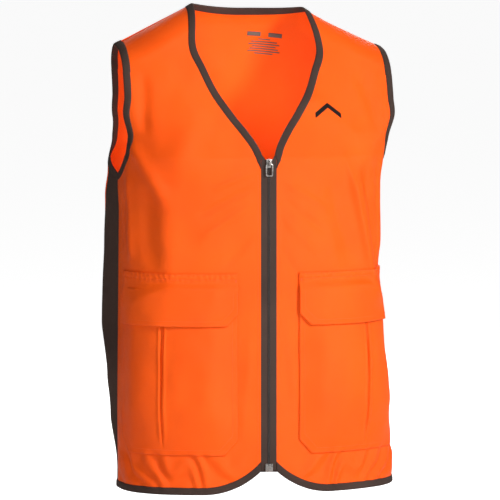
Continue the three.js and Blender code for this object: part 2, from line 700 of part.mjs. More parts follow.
function insertionPin() {
  const low = [GAP, ahead(COIL_HIGH), ZIP_BOTTOM_Z];
  const high = [COIL_HALF, ahead(COIL_LOW), ZIP_BOTTOM_Z + BOX_TALL];
  return block(low, high);
}

// ---------- cargo pockets ----------
const POCKET_OUTER = POCKET_INNER + POCKET_WIDE;
const POUCH_LOW = CLOTH + SEAM_GAP;
function pouchRise(across, z) {
  const beside = Math.min(across - POCKET_INNER, POCKET_OUTER - across);
  return POCKET_BULGE * smooth(beside / BULGE_SIDE) * smooth((z - POCKET_BOTTOM_Z) / BULGE_BOTTOM);
}

function pouchOffset(across, z) {
  const pleat = Math.exp(-(((across - POCKET_INNER - PLEAT_FROM_INNER) / PLEAT_WIDE) ** 2));
  const rise = pouchRise(across, z);
  return POUCH_LOW + rise - PLEAT_DEEP * pleat * (rise / POCKET_BULGE);
}

function pocketPouch(side) {
  const climbs = [0, 11, POCKET_CORNER_TALL, 40, 62, 100, 145, 195, POCKET_MOUTH_Z - POCKET_BOTTOM_Z];
  const pleat = PLEAT_FROM_INNER / POCKET_WIDE;
  const fold = PLEAT_WIDE / POCKET_WIDE;
  const shares = [0, 0.05, 0.1, 0.17, 0.28, 0.42, pleat - 2 * fold, pleat - fold / 2, pleat + fold / 2];
  shares.push(pleat + 2 * fold, 0.75, 0.83, 0.9, 0.95, 1);
  return patch(side, climbs.length, shares.length, (i, j) => {
    const z = POCKET_BOTTOM_Z + climbs[i];
    const cut = POCKET_CORNER_WIDE * clamp(1 - climbs[i] / POCKET_CORNER_TALL);
    const across = clampTo(POCKET_INNER + POCKET_WIDE * shares[j], POCKET_INNER + cut, POCKET_OUTER - cut, shares[j]);
    const offset = pouchOffset(across, z);
    return { face: FRONT, across, z, in: offset, out: offset + CLOTH };
  });
}

// Squeezes a column between two limits without ever folding one column onto the next.
function clampTo(value, low, high, share) {
  const squeezed = lerp(low, high, share);
  return low > POCKET_INNER ? squeezed : value;
}

function pocketBand(side) {
  const columns = 28;
  return patch(side, 2, columns, (i, j) => ({
    face: FRONT,
    across: POCKET_INNER + (POCKET_WIDE * j) / (columns - 1),
    z: lerp(BAND_BOTTOM_Z, BAND_TOP_Z, i),
    in: POUCH_LOW,
    out: POUCH_LOW + BAND_THICK,
  }));
}

const FLAP_TOP_Z = BAND_BOTTOM_Z - 2 * GAP;
const TAB_ROOM = 2 * TAB_THICK + 3 * GAP;
function flapOffset(across, z) {
  const over = CLOTH + TAB_ROOM + pouchRise(across, POCKET_MOUTH_Z);
  const start = BAND_THICK + GAP;
  return POUCH_LOW + start + (over - start) * smooth((FLAP_TOP_Z - z) / FLAP_FOLD);
}

function pocketFlap(side) {
  const drops = [0, 5, 10, 15, 32, FLAP_TOP_Z - FLAP_BOTTOM_Z - FLAP_CORNER_TALL, FLAP_TOP_Z - FLAP_BOTTOM_Z];
  const columns = 25;
  return patch(side, drops.length, columns, (i, j) => {
    const z = FLAP_TOP_Z - drops[i];
    const cut = FLAP_CORNER_WIDE * clamp(1 - (z - FLAP_BOTTOM_Z) / FLAP_CORNER_TALL);
    const across = lerp(POCKET_INNER + cut, POCKET_OUTER, j / (columns - 1));
    const offset = flapOffset(across, z);
    return { face: FRONT, across, z, in: offset, out: offset + CLOTH };
  });
}

// The loop strip lies on the pouch and the hook strip under the flap.
function closureStrip(side, lift) {
  const columns = 7;
  return patch(side, 2, columns, (i, j) => {
    const across = POCKET_INNER + TAB_FROM_INNER + (TAB_WIDE * j) / (columns - 1);
    const offset = POUCH_LOW + pouchRise(across, POCKET_MOUTH_Z) + CLOTH + lift;
    return { face: FRONT, across, z: lerp(TAB_BOTTOM_Z, TAB_TOP_Z, i), in: offset, out: offset + TAB_THICK };
  });
}

// ---------- trim ----------
// A plain stitched chevron.
function chestEmblem() {
  const columns = 9;
  return patch(1, 2, columns, (i, j) => {
    const share = (2 * j) / (columns - 1) - 1;
    const peak = EMBLEM_Z + EMBLEM_TALL / 2 - EMBLEM_STROKE;
    const z = peak - Math.abs(share) * (EMBLEM_TALL - EMBLEM_STROKE) + EMBLEM_STROKE * i;
    const across = EMBLEM_ACROSS + (share * EMBLEM_WIDE) / 2;
    return { face: FRONT, across, z, in: CLOTH + GAP, out: CLOTH + GAP + EMBLEM_THICK };
  });
}

function neckLabel() {
  const columns = 6;
  return patch(1, 4, columns, (i, j) => ({
    face: BACK,
    across: LABEL_X + LABEL_WIDE * (j / (columns - 1) - 0.5),
    z: LABEL_TOP_Z - LABEL_TALL * (1 - i / 3),
    in: -GAP - LABEL_THICK,
    out: -GAP,
  }));
}

// ---------- assembly ----------
const group = new THREE.Group();
function addPiece(name, geometry, material) {
  const mesh = new THREE.Mesh(geometry, material);
  mesh.name = name;
  group.add(mesh);
}

addPiece("back_panel", backPanel(), orangeCloth());
addPiece("neck_binding_back", neckBindingBack(), brownCloth());
addPiece("hem_binding_back", hemBindingBack(), brownCloth());
addPiece("neck_label", neckLabel(), greyPrint());
addPiece("chest_emblem", chestEmblem(), blackThread());
addPiece("zip_slider", zipSlider(), metal());
addPiece("zip_pull", zipPull(), metal());
addPiece("zip_retainer_box", retainerBox(), metal());
addPiece("zip_insertion_pin", insertionPin(), nylon());

for (const [name, side] of SIDES) {
  addPiece("side_panel_" + name, sidePanel(side), stretchCloth());
  addPiece("front_shoulder_" + name, frontShoulder(side), orangeCloth());
  addPiece("front_panel_" + name, frontPanel(side), orangeCloth());
  addPiece("neck_binding_shoulder_" + name, neckBindingShoulder(side), brownCloth());
  addPiece("neck_binding_front_" + name, neckBindingFront(side), brownCloth());
  addPiece("armhole_binding_" + name, armholeBinding(side), brownCloth());
  addPiece("armhole_binding_front_" + name, armholeBindingFront(side), brownCloth());
  addPiece("hem_binding_front_" + name, hemBindingFront(side), brownCloth());
  addPiece("zip_tape_" + name, zipTape(side), brownCloth());
  addPiece("zip_coil_" + name, zipCoil(side), nylon());
  addPiece("zip_top_stop_" + name, topStop(side), metal());
  addPiece("pocket_pouch_" + name, pocketPouch(side), orangeCloth());
  addPiece("pocket_band_" + name, pocketBand(side), orangeCloth());
  addPiece("pocket_flap_" + name, pocketFlap(side), orangeCloth());
  addPiece("pocket_loop_strip_" + name, closureStrip(side, GAP), hookTape());
  addPiece("pocket_hook_strip_" + name, closureStrip(side, 2 * GAP + TAB_THICK), hookTape());
}

export default group;
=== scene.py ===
"""Looks for a sleeveless zip-front field vest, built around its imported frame. Metres, +Z up, -Y the front."""

import math

import bmesh
import bpy
import numpy as np
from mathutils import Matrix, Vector


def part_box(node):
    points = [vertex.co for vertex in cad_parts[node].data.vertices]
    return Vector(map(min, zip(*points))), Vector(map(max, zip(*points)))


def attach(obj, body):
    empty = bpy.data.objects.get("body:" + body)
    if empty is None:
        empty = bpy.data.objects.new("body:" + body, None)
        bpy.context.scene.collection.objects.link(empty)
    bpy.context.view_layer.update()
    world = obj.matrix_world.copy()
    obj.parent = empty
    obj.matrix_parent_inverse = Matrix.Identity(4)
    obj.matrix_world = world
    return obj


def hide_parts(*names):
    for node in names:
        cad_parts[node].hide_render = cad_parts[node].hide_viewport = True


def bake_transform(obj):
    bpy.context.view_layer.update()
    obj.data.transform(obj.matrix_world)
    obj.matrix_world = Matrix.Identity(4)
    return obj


bl_info = {
    "name": "Field Vest",
    "version": (1, 0, 0),
    "blender": (4, 5, 0),
    "location": "View3D > Sidebar > Vest",
    "description": "Builds a zip-front field vest with cargo pockets around its frame",
    "category": "Add Mesh",
}

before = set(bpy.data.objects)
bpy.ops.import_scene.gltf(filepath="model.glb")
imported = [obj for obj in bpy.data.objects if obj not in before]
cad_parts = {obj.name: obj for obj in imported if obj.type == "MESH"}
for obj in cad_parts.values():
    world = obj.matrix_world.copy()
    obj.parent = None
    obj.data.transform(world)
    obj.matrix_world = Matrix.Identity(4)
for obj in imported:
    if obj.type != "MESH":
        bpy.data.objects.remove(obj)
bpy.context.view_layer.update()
MM = 0.001

# ---------- sizes of the cut, in metres ----------
HEM_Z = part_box("hem_binding_back")[0].z
SIDE_HALF = 204 * MM
HEM_SPREAD = 5 * MM
FRONT_DEPTH = 134 * MM
BACK_DEPTH = 118 * MM
NECK_HALF = 85 * MM
SHOULDER_HALF = 205 * MM
SHOULDER_DROP = 61 * MM
SHOULDER_ROLL = 35 * MM
BACK_NECK_DROP = 8 * MM
V_BOTTOM_Z = -226 * MM
ARMHOLE_Z = -253 * MM
ARMHOLE_TURN_Z = -170 * MM
ARMHOLE_ROUND = 1.6
YOKE_Z = -100 * MM
BACK_NARROWING = 5 * MM
SIDE_PANEL_TOP = 22 * MM
SIDE_PANEL_WIDE = 70 * MM
SIDE_PANEL_FULL_Z = -560 * MM
HEM_CORNER = 130 * MM
ZIP_BOTTOM_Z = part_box("zip_tape_left")[0].z
ZIP_TOP_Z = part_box("zip_tape_left")[1].z
TAPE_HALF = 12 * MM
PANEL_INNER = TAPE_HALF + 0.3 * MM
BINDING_WIDTH = 11 * MM
WEDGE_START_Z = V_BOTTOM_Z - 16 * MM
CLOTH = 0.9 * MM
TUCK = 1.0 * MM  # how far a cloth edge runs under its binding
UNDERARM_Z = ARMHOLE_Z - BINDING_WIDTH

POCKET_INNER = 47 * MM
POCKET_WIDE = 200 * MM
POCKET_OUTER = POCKET_INNER + POCKET_WIDE
POCKET_MOUTH_Z = -426 * MM
POCKET_BOTTOM_Z = -672 * MM
CORNER_WIDE = 20 * MM
CORNER_TALL = 22 * MM
PLEAT_AT = POCKET_INNER + 114 * MM
BAND_TOP_Z = -398.3 * MM
FLAP_HINGE_Z = -410 * MM
FLAP_BOTTOM_Z = -477 * MM
FLAP_CORNER_WIDE = 17 * MM
FLAP_CORNER_TALL = 18 * MM
POUCH_LOW = 1.7 * MM
FLAP_CLOTH = 1.8 * MM
BAND_SEAMS = (1.8 * MM, 8.6 * MM)
COIL_OUT = 1.35  # millimetres in front of the fronts' edge

FRONT, BACK = -1, 1
SIDES = (("right", -1), ("left", 1))


# ---------- small mathematics ----------
def clamp(t):
    return np.clip(t, 0.0, 1.0)


def smooth(t):
    t = clamp(t)
    return t * t * (3 - 2 * t)


def lerp(a, b, t):
    return a + (b - a) * t


def value_noise(u, v, cell, seed):
    """Soft noise from -1 to 1 over the plane, with the given cell size."""
    table = np.random.default_rng(seed).uniform(-1, 1, (64, 64))
    a, b = np.asarray(u, float) / cell, np.asarray(v, float) / cell
    i, j = np.floor(a).astype(int), np.floor(b).astype(int)
    fa, fb = smooth(a - i), smooth(b - j)
    corner = [table[(i + k) % 64, (j + m) % 64] for k in (0, 1) for m in (0, 1)]
    return lerp(lerp(corner[0], corner[1], fb), lerp(corner[2], corner[3], fb), fa)


def ridge(s, z, start, end, width):
    """A soft ridge along a line on the cloth, 1 on the line and fading at its ends."""
    along = np.array(end) - np.array(start)
    length = np.hypot(*along)
    du, dv = s - start[0], z - start[1]
    t = (du * along[0] + dv * along[1]) / length**2
    off = (du * along[1] - dv * along[0]) / length
    return np.exp(-((off / width) ** 2)) * smooth(t / 0.25) * smooth((1 - t) / 0.25)


# ---------- the body form ----------
FLARE_FROM_Z, FLARE_OVER = -225 * MM, 125 * MM
FORMS = {
    FRONT: {"round": 2.5, "depth": FRONT_DEPTH, "top": 30 * MM, "growth": 0.46, "flare": 57 * MM},
    BACK: {"round": 2.0, "depth": BACK_DEPTH, "top": 30 * MM, "growth": 0.28, "flare": 30 * MM},
}


def half_width(face, z):
    below = SIDE_HALF + HEM_SPREAD * clamp((ARMHOLE_Z - z) / (ARMHOLE_Z - HEM_Z))
    return below + FORMS[face]["flare"] * smooth((z - FLARE_FROM_Z) / FLARE_OVER)


def shoulder_z(x):
    return -SHOULDER_DROP / (SHOULDER_HALF - NECK_HALF) * np.maximum(0, np.abs(x) - NECK_HALF)


def depth_at(face, x, z):
    form = FORMS[face]
    deepest = np.minimum(form["depth"], form["top"] - form["growth"] * z)
    across = clamp(1 - (np.abs(x) / half_width(face, z)) ** form["round"]) ** (1 / form["round"])
    roll = 1 - clamp((shoulder_z(x) - z) / SHOULDER_ROLL)
    return deepest * across * np.sqrt(1 - roll * roll)


TABLE_Z = np.linspace(HEM_Z - 0.01, YOKE_Z + 0.01, 640)
TABLE_T = np.linspace(0, 1, 401)


def section_table(face):
    """Points round half of each section at even steps of its length, and that length."""
    angle = np.linspace(math.pi / 2, 0, 1200)
    xs, ys, lengths = [], [], []
    for z in TABLE_Z:
        x = half_width(face, z) * np.cos(angle) ** (2 / FORMS[face]["round"])
        x[0] = 0
        y = face * depth_at(face, x, z)
        run = np.concatenate([[0], np.cumsum(np.hypot(np.diff(x), np.diff(y)))])
        xs.append(np.interp(TABLE_T * run[-1], run, x))
        ys.append(np.interp(TABLE_T * run[-1], run, y))
        lengths.append(run[-1])
    return np.array(xs), np.array(ys), np.array(lengths)


SECTIONS = {face: section_table(face) for face in (FRONT, BACK)}


def girth(face, z):
    return np.interp(z, TABLE_Z, SECTIONS[face][2])


def distance_at_x(face, x, z):
    k = int(np.clip(np.searchsorted(TABLE_Z, z), 1, len(TABLE_Z) - 1))
    return float(np.interp(x, SECTIONS[face][0][k], TABLE_T) * girth(face, z))


def form_point(face, across, z):
    """Places on the bare form: across is a distance round the section below YOKE_Z, and x above it."""
    across, z = np.broadcast_arrays(np.asarray(across, float), np.asarray(z, float))
    xs, ys, _ = SECTIONS[face]
    row = np.clip((z - TABLE_Z[0]) / (TABLE_Z[1] - TABLE_Z[0]), 0, len(TABLE_Z) - 1.001)
    column = np.clip(np.abs(across) / girth(face, z), 0, 1) * (len(TABLE_T) - 1.001)
    i, j = row.astype(int), column.astype(int)
    fi, fj = row - i, column - j
    x = lerp(lerp(xs[i, j], xs[i, j + 1], fj), lerp(xs[i + 1, j], xs[i + 1, j + 1], fj), fi)
    y = lerp(lerp(ys[i, j], ys[i, j + 1], fj), lerp(ys[i + 1, j], ys[i + 1, j + 1], fj), fi)
    over = np.abs(across) - girth(face, z)
    y = np.where(over > 0, y - face * over, y)
    high = z > YOKE_Z
    x = np.where(high, np.abs(across), x) * np.sign(across + 1e-12)
    y = np.where(high, face * depth_at(face, across, z), y)
    return np.stack([x, y, z], -1)


PROBE = 0.4 * MM


def form_normal(face, across, z):
    level = np.where(z > YOKE_Z, np.maximum(z, YOKE_Z + 2 * PROBE), z)
    beside = form_point(face, across + PROBE, level) - form_point(face, across - PROBE, level)
    up = form_point(face, across, level) - form_point(face, across, level - PROBE)
    normal = np.cross(beside, up) * -face
    return normal / np.maximum(np.linalg.norm(normal, axis=-1, keepdims=True), 1e-12)


# ---------- how the cloth hangs ----------
def table(z, points):
    """A curve through points of (height, value), highest first, easing between them."""
    out = np.full_like(np.asarray(z, float), points[0][1])
    for (z0, v0), (z1, v1) in zip(points, points[1:]):
        out = out + (v1 - v0) * smooth((z0 - z) / (z0 - z1))
    return out


# How far the side seam stands out (mm, by height) on the wearer's left and right, and the cloth behind it.
SEAM_OUT = {
    1: ((-0.22, 0), (-0.275, -7.5), (-0.44, -8), (-0.52, -5), (-0.60, 4), (-0.68, 11), (-0.731, 14)),
    -1: ((-0.20, 0), (-0.27, -4), (-0.31, -6), (-0.60, -6), (-0.731, -8)),
}
BEHIND_OUT = {
    1: ((-0.20, 0), (-0.28, 9), (-0.52, 9), (-0.66, 0)),
    -1: ((-0.17, 0), (-0.20, 5), (-0.25, 17), (-0.29, 21), (-0.48, 21), (-0.56, 15), (-0.62, 10), (-0.70, 0)),
}


def stance(face, side, s, z):
    """Where the wearer's shape pushes the cloth out or in near the sides."""
    from_seam = girth(face, np.minimum(z, YOKE_Z)) - s
    out = table(z, SEAM_OUT[side]) * smooth(1 - from_seam / 0.13)
    if face == BACK:
        out = out + table(z, BEHIND_OUT[side]) * smooth(from_seam / 0.03) * smooth((0.11 - from_seam) / 0.08)
    return out * MM


def hang(face, side, across, z):
    """How far the cloth stands off the bare form, in metres."""
    s = np.abs(across)
    if face == BACK:
        shape = np.where(across < 0, stance(BACK, -1, s, z), stance(BACK, 1, s, z))
    else:
        shape = stance(FRONT, side, s, z)
    sway = 3.0 * MM * value_noise(s, z * 0.45, 0.07, 11 + face + 3 * side)
    ripple = 1.0 * MM * value_noise(s, z * 0.7, 0.024, 21 + face + 3 * side)
    out = sway + ripple
    if face == BACK:
        across = np.asarray(across, float)
        near_side = girth(BACK, np.minimum(z, YOKE_Z)) - s
        for start, end, width, height in BACK_FOLDS:
            out = out + height * ridge(across, z, start, end, width)
        quiet = smooth(near_side / 0.03)
        return out * quiet * hem_calm(z) + shape
    for start, end, width, height in FRONT_FOLDS[side]:
        out = out + 1.5 * height * ridge(s, z, start, end, width)
    under = smooth((z - HEM_Z) / 0.012) * smooth((POCKET_BOTTOM_Z + 0.012 - z) / 0.02)
    drape = np.sin(s / 0.0062 - z / 0.008 + 3.4 * value_noise(s, z, 0.03, 5)) * 2.1 * MM
    out = out + drape * under * smooth((s - POCKET_INNER + 0.01) / 0.03)
    near_side = girth(FRONT, np.minimum(z, YOKE_Z)) - s
    quiet = smooth((s - 14 * MM) / 0.03) * smooth(near_side / 0.03)
    return out * quiet * hem_calm(z) + shape


def hem_calm(z):
    """Folds die out at the hem, and over the shoulders."""
    return (0.35 + 0.65 * smooth((z - HEM_Z) / 0.03)) * smooth(-z / 0.12)


# Each fold: where it starts and ends on the cloth (distance from the centre, height), width and height.
FRONT_FOLDS = {
    1: (
        ((0.118, -0.205), (0.180, -0.44), 0.0045, 2.2 * MM),
        ((0.130, -0.225), (0.196, -0.47), 0.014, 6.0 * MM),
        ((0.158, -0.225), (0.212, -0.40), 0.011, -4.6 * MM),
        ((0.090, -0.245), (0.140, -0.41), 0.014, -3.4 * MM),
        ((0.205, -0.200), (0.240, -0.41), 0.009, 3.6 * MM),
        ((0.012, -0.255), (0.110, -0.315), 0.0050, 1.5 * MM),
        ((0.012, -0.280), (0.095, -0.345), 0.0055, -1.5 * MM),
        ((0.012, -0.305), (0.080, -0.375), 0.0050, 1.2 * MM),
        ((0.012, -0.350), (0.060, -0.430), 0.0060, -1.2 * MM),
        ((0.060, -0.120), (0.160, -0.21), 0.016, 2.6 * MM),
        ((0.150, -0.080), (0.190, -0.20), 0.012, -2.6 * MM),
        ((0.020, -0.420), (0.044, -0.62), 0.008, 1.6 * MM),
    ),
    -1: (
        ((0.012, -0.240), (0.090, -0.275), 0.0045, 1.5 * MM),
        ((0.012, -0.262), (0.115, -0.315), 0.0055, -1.7 * MM),
        ((0.012, -0.285), (0.110, -0.350), 0.0050, 1.5 * MM),
        ((0.012, -0.330), (0.075, -0.395), 0.0060, -1.3 * MM),
        ((0.222, -0.195), (0.150, -0.30), 0.013, 4.6 * MM),
        ((0.156, -0.260), (0.150, -0.43), 0.022, 3.2 * MM),
        ((0.190, -0.260), (0.180, -0.40), 0.019, -3.2 * MM),
        ((0.232, -0.230), (0.222, -0.40), 0.009, 2.8 * MM),
        ((0.090, -0.130), (0.150, -0.25), 0.022, 2.2 * MM),
        ((0.175, -0.090), (0.185, -0.20), 0.010, -2.4 * MM),
        ((0.022, -0.470), (0.042, -0.66), 0.008, 1.8 * MM),
    ),
}
BACK_FOLDS = (
    ((-0.150, -0.210), (-0.040, -0.36), 0.018, 2.6 * MM),
    ((0.150, -0.200), (0.050, -0.35), 0.018, 2.4 * MM),
    ((-0.090, -0.400), (-0.120, -0.70), 0.024, 2.6 * MM),
    ((0.020, -0.360), (0.010, -0.70), 0.026, -2.4 * MM),
    ((0.110, -0.420), (0.150, -0.71), 0.022, 2.6 * MM),
    ((-0.170, -0.300), (-0.150, -0.52), 0.014, -2.0 * MM),
)


def posture(point):
    """The wearer's left shoulder hangs a little lower and wider than the right."""
    x, z = point[..., 0].copy(), point[..., 2].copy()
    point[..., 2] -= 10 * MM * smooth(x / 0.13) * smooth((z + 0.27) / 0.2)
    point[..., 0] += 6 * MM * smooth((x - 0.11) / 0.09) * smooth((z + 0.26) / 0.06) * smooth(-z / 0.07)
    return point


def on_cloth(face, side, across, z, offset):
    """Points on the hanging cloth. side is 1 for the wearer's left, -1 for the right."""
    across, z = np.broadcast_arrays(np.asarray(across, float), np.asarray(z, float))
    signed = across * side
    stand = hang(face, 1 if face == BACK else side, signed if face == BACK else across, z)
    point = form_point(face, across, z) + form_normal(face, across, z) * (stand + offset)[..., None]
    point[..., 0] *= side
    return posture(point)


# ---------- edges of the cut pieces ----------
NECKLINE = np.array(
    [[0, 85], [-58, 93], [-95, 81], [-128, 67], [-160, 47], [-185, 29], [-208, 15], [-226, 8]]
) * MM


def neckline_x(z):
    """A smooth curve through the points of the neckline, highest first."""
    points = NECKLINE
    k = 0
    while k < len(points) - 2 and z < points[k + 1][0]:
        k += 1

    def slope(n):
        before, after = points[max(0, n - 1)], points[min(len(points) - 1, n + 1)]
        return (after[1] - before[1]) / (after[0] - before[0])

    step = points[k + 1][0] - points[k][0]
    t = float(clamp((z - points[k][0]) / step))
    bend = step * (slope(k) * t * (1 - t) ** 2 - slope(k + 1) * t * t * (1 - t))
    return lerp(points[k][1], points[k + 1][1], t * t * (3 - 2 * t)) + bend


def neck_edge(z):
    wedge = smooth((z - V_BOTTOM_Z + 3 * MM) / (8 * MM))
    return float(lerp(PANEL_INNER, neckline_x(z), wedge))


def neck_seam(z, allowance=BINDING_WIDTH):
    run = 4 * MM
    lean = (neckline_x(z + run) - neckline_x(z - run)) / (2 * run)
    beside = neckline_x(z) + allowance * math.hypot(1, lean)
    share = smooth((z - WEDGE_START_Z) / (V_BOTTOM_Z - WEDGE_START_Z))
    return float(lerp(TAPE_HALF + 0.8 * MM, beside, share))


def armhole_x(face, z):
    narrowing = BACK_NARROWING * float(smooth((-z - SHOULDER_DROP) / 0.08)) if face == BACK else 0
    return SHOULDER_HALF - narrowing


def armhole_reach(face):
    return girth(face, ARMHOLE_TURN_Z) - distance_at_x(face, armhole_x(face, ARMHOLE_TURN_Z), ARMHOLE_TURN_Z)


def armhole_across(face, z, allowance):
    drop = float(clamp((ARMHOLE_TURN_Z - z) / (ARMHOLE_TURN_Z - ARMHOLE_Z + allowance)))
    share = (1 - drop**ARMHOLE_ROUND) ** (1 / ARMHOLE_ROUND)
    above = distance_at_x(face, armhole_x(face, z), z) - allowance
    below = girth(face, z) - (armhole_reach(face) + allowance) * share
    return float(lerp(above, below, smooth((ARMHOLE_TURN_Z + 0.035 - z) / 0.06)))


def front_hem_z(across):
    rise = ZIP_BOTTOM_Z - HEM_Z
    run = math.sqrt(2 * HEM_CORNER * rise - rise * rise)
    left = clamp((PANEL_INNER + run - across) / run) * run
    return HEM_Z + HEM_CORNER - np.sqrt(HEM_CORNER**2 - left * left)


def front_hem_seam_z(across, allowance=BINDING_WIDTH):
    step = 0.5 * MM
    slope = (front_hem_z(across + step) - front_hem_z(across)) / step
    return front_hem_z(across) + allowance * np.minimum(1.8, np.hypot(1, slope))


def side_panel_width(z):
    return lerp(SIDE_PANEL_TOP, SIDE_PANEL_WIDE, smooth((ARMHOLE_Z - z) / (ARMHOLE_Z - SIDE_PANEL_FULL_Z)))


def back_neck_z(x, allowance):
    reach = NECK_HALF + allowance
    return lerp(-BACK_NECK_DROP - allowance, shoulder_z(reach), clamp(np.abs(x) / reach) ** 2)


# ---------- meshes ----------
def lengths_uv(grid):
    """A flat map of a grid of points in metres: u along the rows, v along the columns."""
    u = np.cumsum(np.linalg.norm(np.diff(grid, axis=1), axis=-1), axis=1)
    v = np.cumsum(np.linalg.norm(np.diff(grid, axis=0), axis=-1), axis=0)
    u = np.concatenate([np.zeros((grid.shape[0], 1)), u], 1)
    v = np.concatenate([np.zeros((1, grid.shape[1])), v], 0)
    return np.stack([u - u[:, :1].mean(), v], -1)


def new_object(name, points, faces, uvs=None, flat=()):
    """A mesh piece. uvs gives one pair to each point, and flat the faces that are not shaded smooth."""
    mesh = bpy.data.meshes.new(name)
    mesh.from_pydata([tuple(p) for p in points], [], faces)
    if uvs is not None:
        layer = mesh.uv_layers.new(name="cloth")
        corner = np.zeros(len(mesh.loops), np.int32)
        mesh.loops.foreach_get("vertex_index", corner)
        layer.data.foreach_set("uv", uvs[corner].astype(np.float32).ravel())
    smooth_flags = np.ones(len(mesh.polygons), bool)
    smooth_flags[list(flat)] = False
    mesh.polygons.foreach_set("use_smooth", smooth_flags)
    mesh.update()
    piece = bpy.data.objects.new(name, mesh)
    bpy.context.scene.collection.objects.link(piece)
    return piece


def grid_faces(rows, columns, start):
    corners = [start + i * columns + j for i in range(rows - 1) for j in range(columns - 1)]
    return [(k, k + 1, k + columns + 1, k + columns) for k in corners]


def tube_faces(count, loop, start=0):
    """The walls and the two end caps of a tube through count loops of points."""
    faces = []
    for first in range(start, start + (count - 1) * loop, loop):
        for j in range(loop):
            beside = (j + 1) % loop
            faces.append((first + j, first + beside, first + loop + beside, first + loop + j))
    faces.append(tuple(start + j for j in reversed(range(loop))))
    faces.append(tuple(start + (count - 1) * loop + j for j in range(loop)))
    return faces


def run_along(points):
    """The distance along a line of points, from its first."""
    return np.concatenate([[0], np.cumsum(np.linalg.norm(np.diff(points, axis=0), axis=-1))])


def oriented(points, faces):
    """The faces turned so that they point outwards."""
    p = np.asarray(points)
    volume = 0.0
    for f in faces:
        for k in range(1, len(f) - 1):
            volume += np.dot(p[f[0]], np.cross(p[f[k]], p[f[k + 1]]))
    return faces if volume > 0 else [tuple(reversed(f)) for f in faces]


def sheet_piece(name, outer, inner):
    """A closed sheet between a grid of outer points and a grid of inner points."""
    rows, columns = outer.shape[:2]
    count = rows * columns
    faces = grid_faces(rows, columns, 0)
    faces += [tuple(reversed(f)) for f in grid_faces(rows, columns, count)]
    first_rim = len(faces)
    rim = [i * columns for i in range(rows)]
    rim += [(rows - 1) * columns + j for j in range(1, columns)]
    rim += [i * columns + columns - 1 for i in range(rows - 2, -1, -1)]
    rim += [j for j in range(columns - 2, 0, -1)]
    for a, b in zip(rim, rim[1:] + rim[:1]):
        faces.append((a, b, b + count, a + count))
    points = np.concatenate([outer.reshape(-1, 3), inner.reshape(-1, 3)])
    uv = lengths_uv(outer).reshape(-1, 2)
    faces = oriented(points, faces)
    return new_object(name, points, faces, np.concatenate([uv, uv]), range(first_rim, len(faces)))


def tube_piece(name, rings):
    """A closed tube: rings is an array of cross-sections, each a loop of points."""
    count, loop = rings.shape[:2]
    points = rings.reshape(-1, 3)
    faces = tube_faces(count, loop)
    walls = len(faces) - 2
    run = np.broadcast_arrays(run_along(rings[0])[None, :], run_along(rings.mean(1))[:, None])
    uv = np.stack(run, -1).reshape(-1, 2)
    return new_object(name, points, oriented(points, faces), uv, (walls, walls + 1))


# ---------- rows and columns of points ----------
def columns_from(inner, outer, count):
    """Columns close together near the zip and even beyond."""
    near = np.array([0, 1, 2, 3.5, 5, 7, 9, 12, 15, 19, 23, 28, 33, 39, 46]) * MM
    return np.concatenate([inner + near, np.linspace(inner + near[-1], outer, count + 1)[1:]])


ROW_STEP = 3.0 * MM
ROW_BLEND_Z = -640 * MM
ROW_START_Z = -720 * MM


def lower_levels():
    """Heights of the rows from the hem to the yoke line, close together under the arm."""
    to_arm = np.linspace(ROW_START_Z, UNDERARM_Z, int((UNDERARM_Z - ROW_START_Z) / ROW_STEP))
    rise, step = [], 0.25 * MM
    while UNDERARM_Z + sum(rise) + step < YOKE_Z - 2 * MM:
        rise.append(step)
        step = min(ROW_STEP, step * 1.35)
    above = UNDERARM_Z + np.cumsum(rise)
    return np.concatenate([to_arm, above, [YOKE_Z]])


def follow_hem(level, bottom):
    share = clamp((level - ROW_START_Z) / (ROW_BLEND_Z - ROW_START_Z))
    return np.where(level >= ROW_BLEND_Z, level, lerp(bottom, ROW_BLEND_Z, share))


YOKE_STEPS = np.linspace(0, 1, 34)[1:]


def yoke_z(top, step):
    return top - (top - YOKE_Z) * (1 - step) ** 2


def stacked(rows):
    """Rows of distances and heights as two grids."""
    return np.array([across for across, _ in rows]), np.array([z for _, z in rows])


def cloth_piece(name, face, side, grid, low, high):
    """A closed sheet between two offsets over the hanging cloth, and its outer grid of points."""
    outer = on_cloth(face, side, *grid, high)
    return sheet_piece(name, outer, on_cloth(face, side, *grid, low)), outer


def front_rows():
    allowance = BINDING_WIDTH - TUCK
    rows = []
    for level in lower_levels():
        outer = girth(FRONT, level) if level <= UNDERARM_Z + TUCK else armhole_across(FRONT, level, allowance)
        inner = neck_seam(level, allowance) if level > WEDGE_START_Z else TAPE_HALF - 1.5 * MM
        across = columns_from(inner, outer, 104)
        rows.append((across, follow_hem(level, front_hem_seam_z(across, allowance))))
    x_yoke = form_point(FRONT, rows[-1][0], YOKE_Z)[..., 0]
    share = (x_yoke - x_yoke[0]) / (x_yoke[-1] - x_yoke[0])
    for step in YOKE_STEPS:
        inner = neck_seam(YOKE_Z * (1 - step) ** 2, allowance) if step < 1 else NECK_HALF + allowance
        across = lerp(inner, SHOULDER_HALF - allowance, share)
        rows.append((across, yoke_z(shoulder_z(across), step)))
    return rows


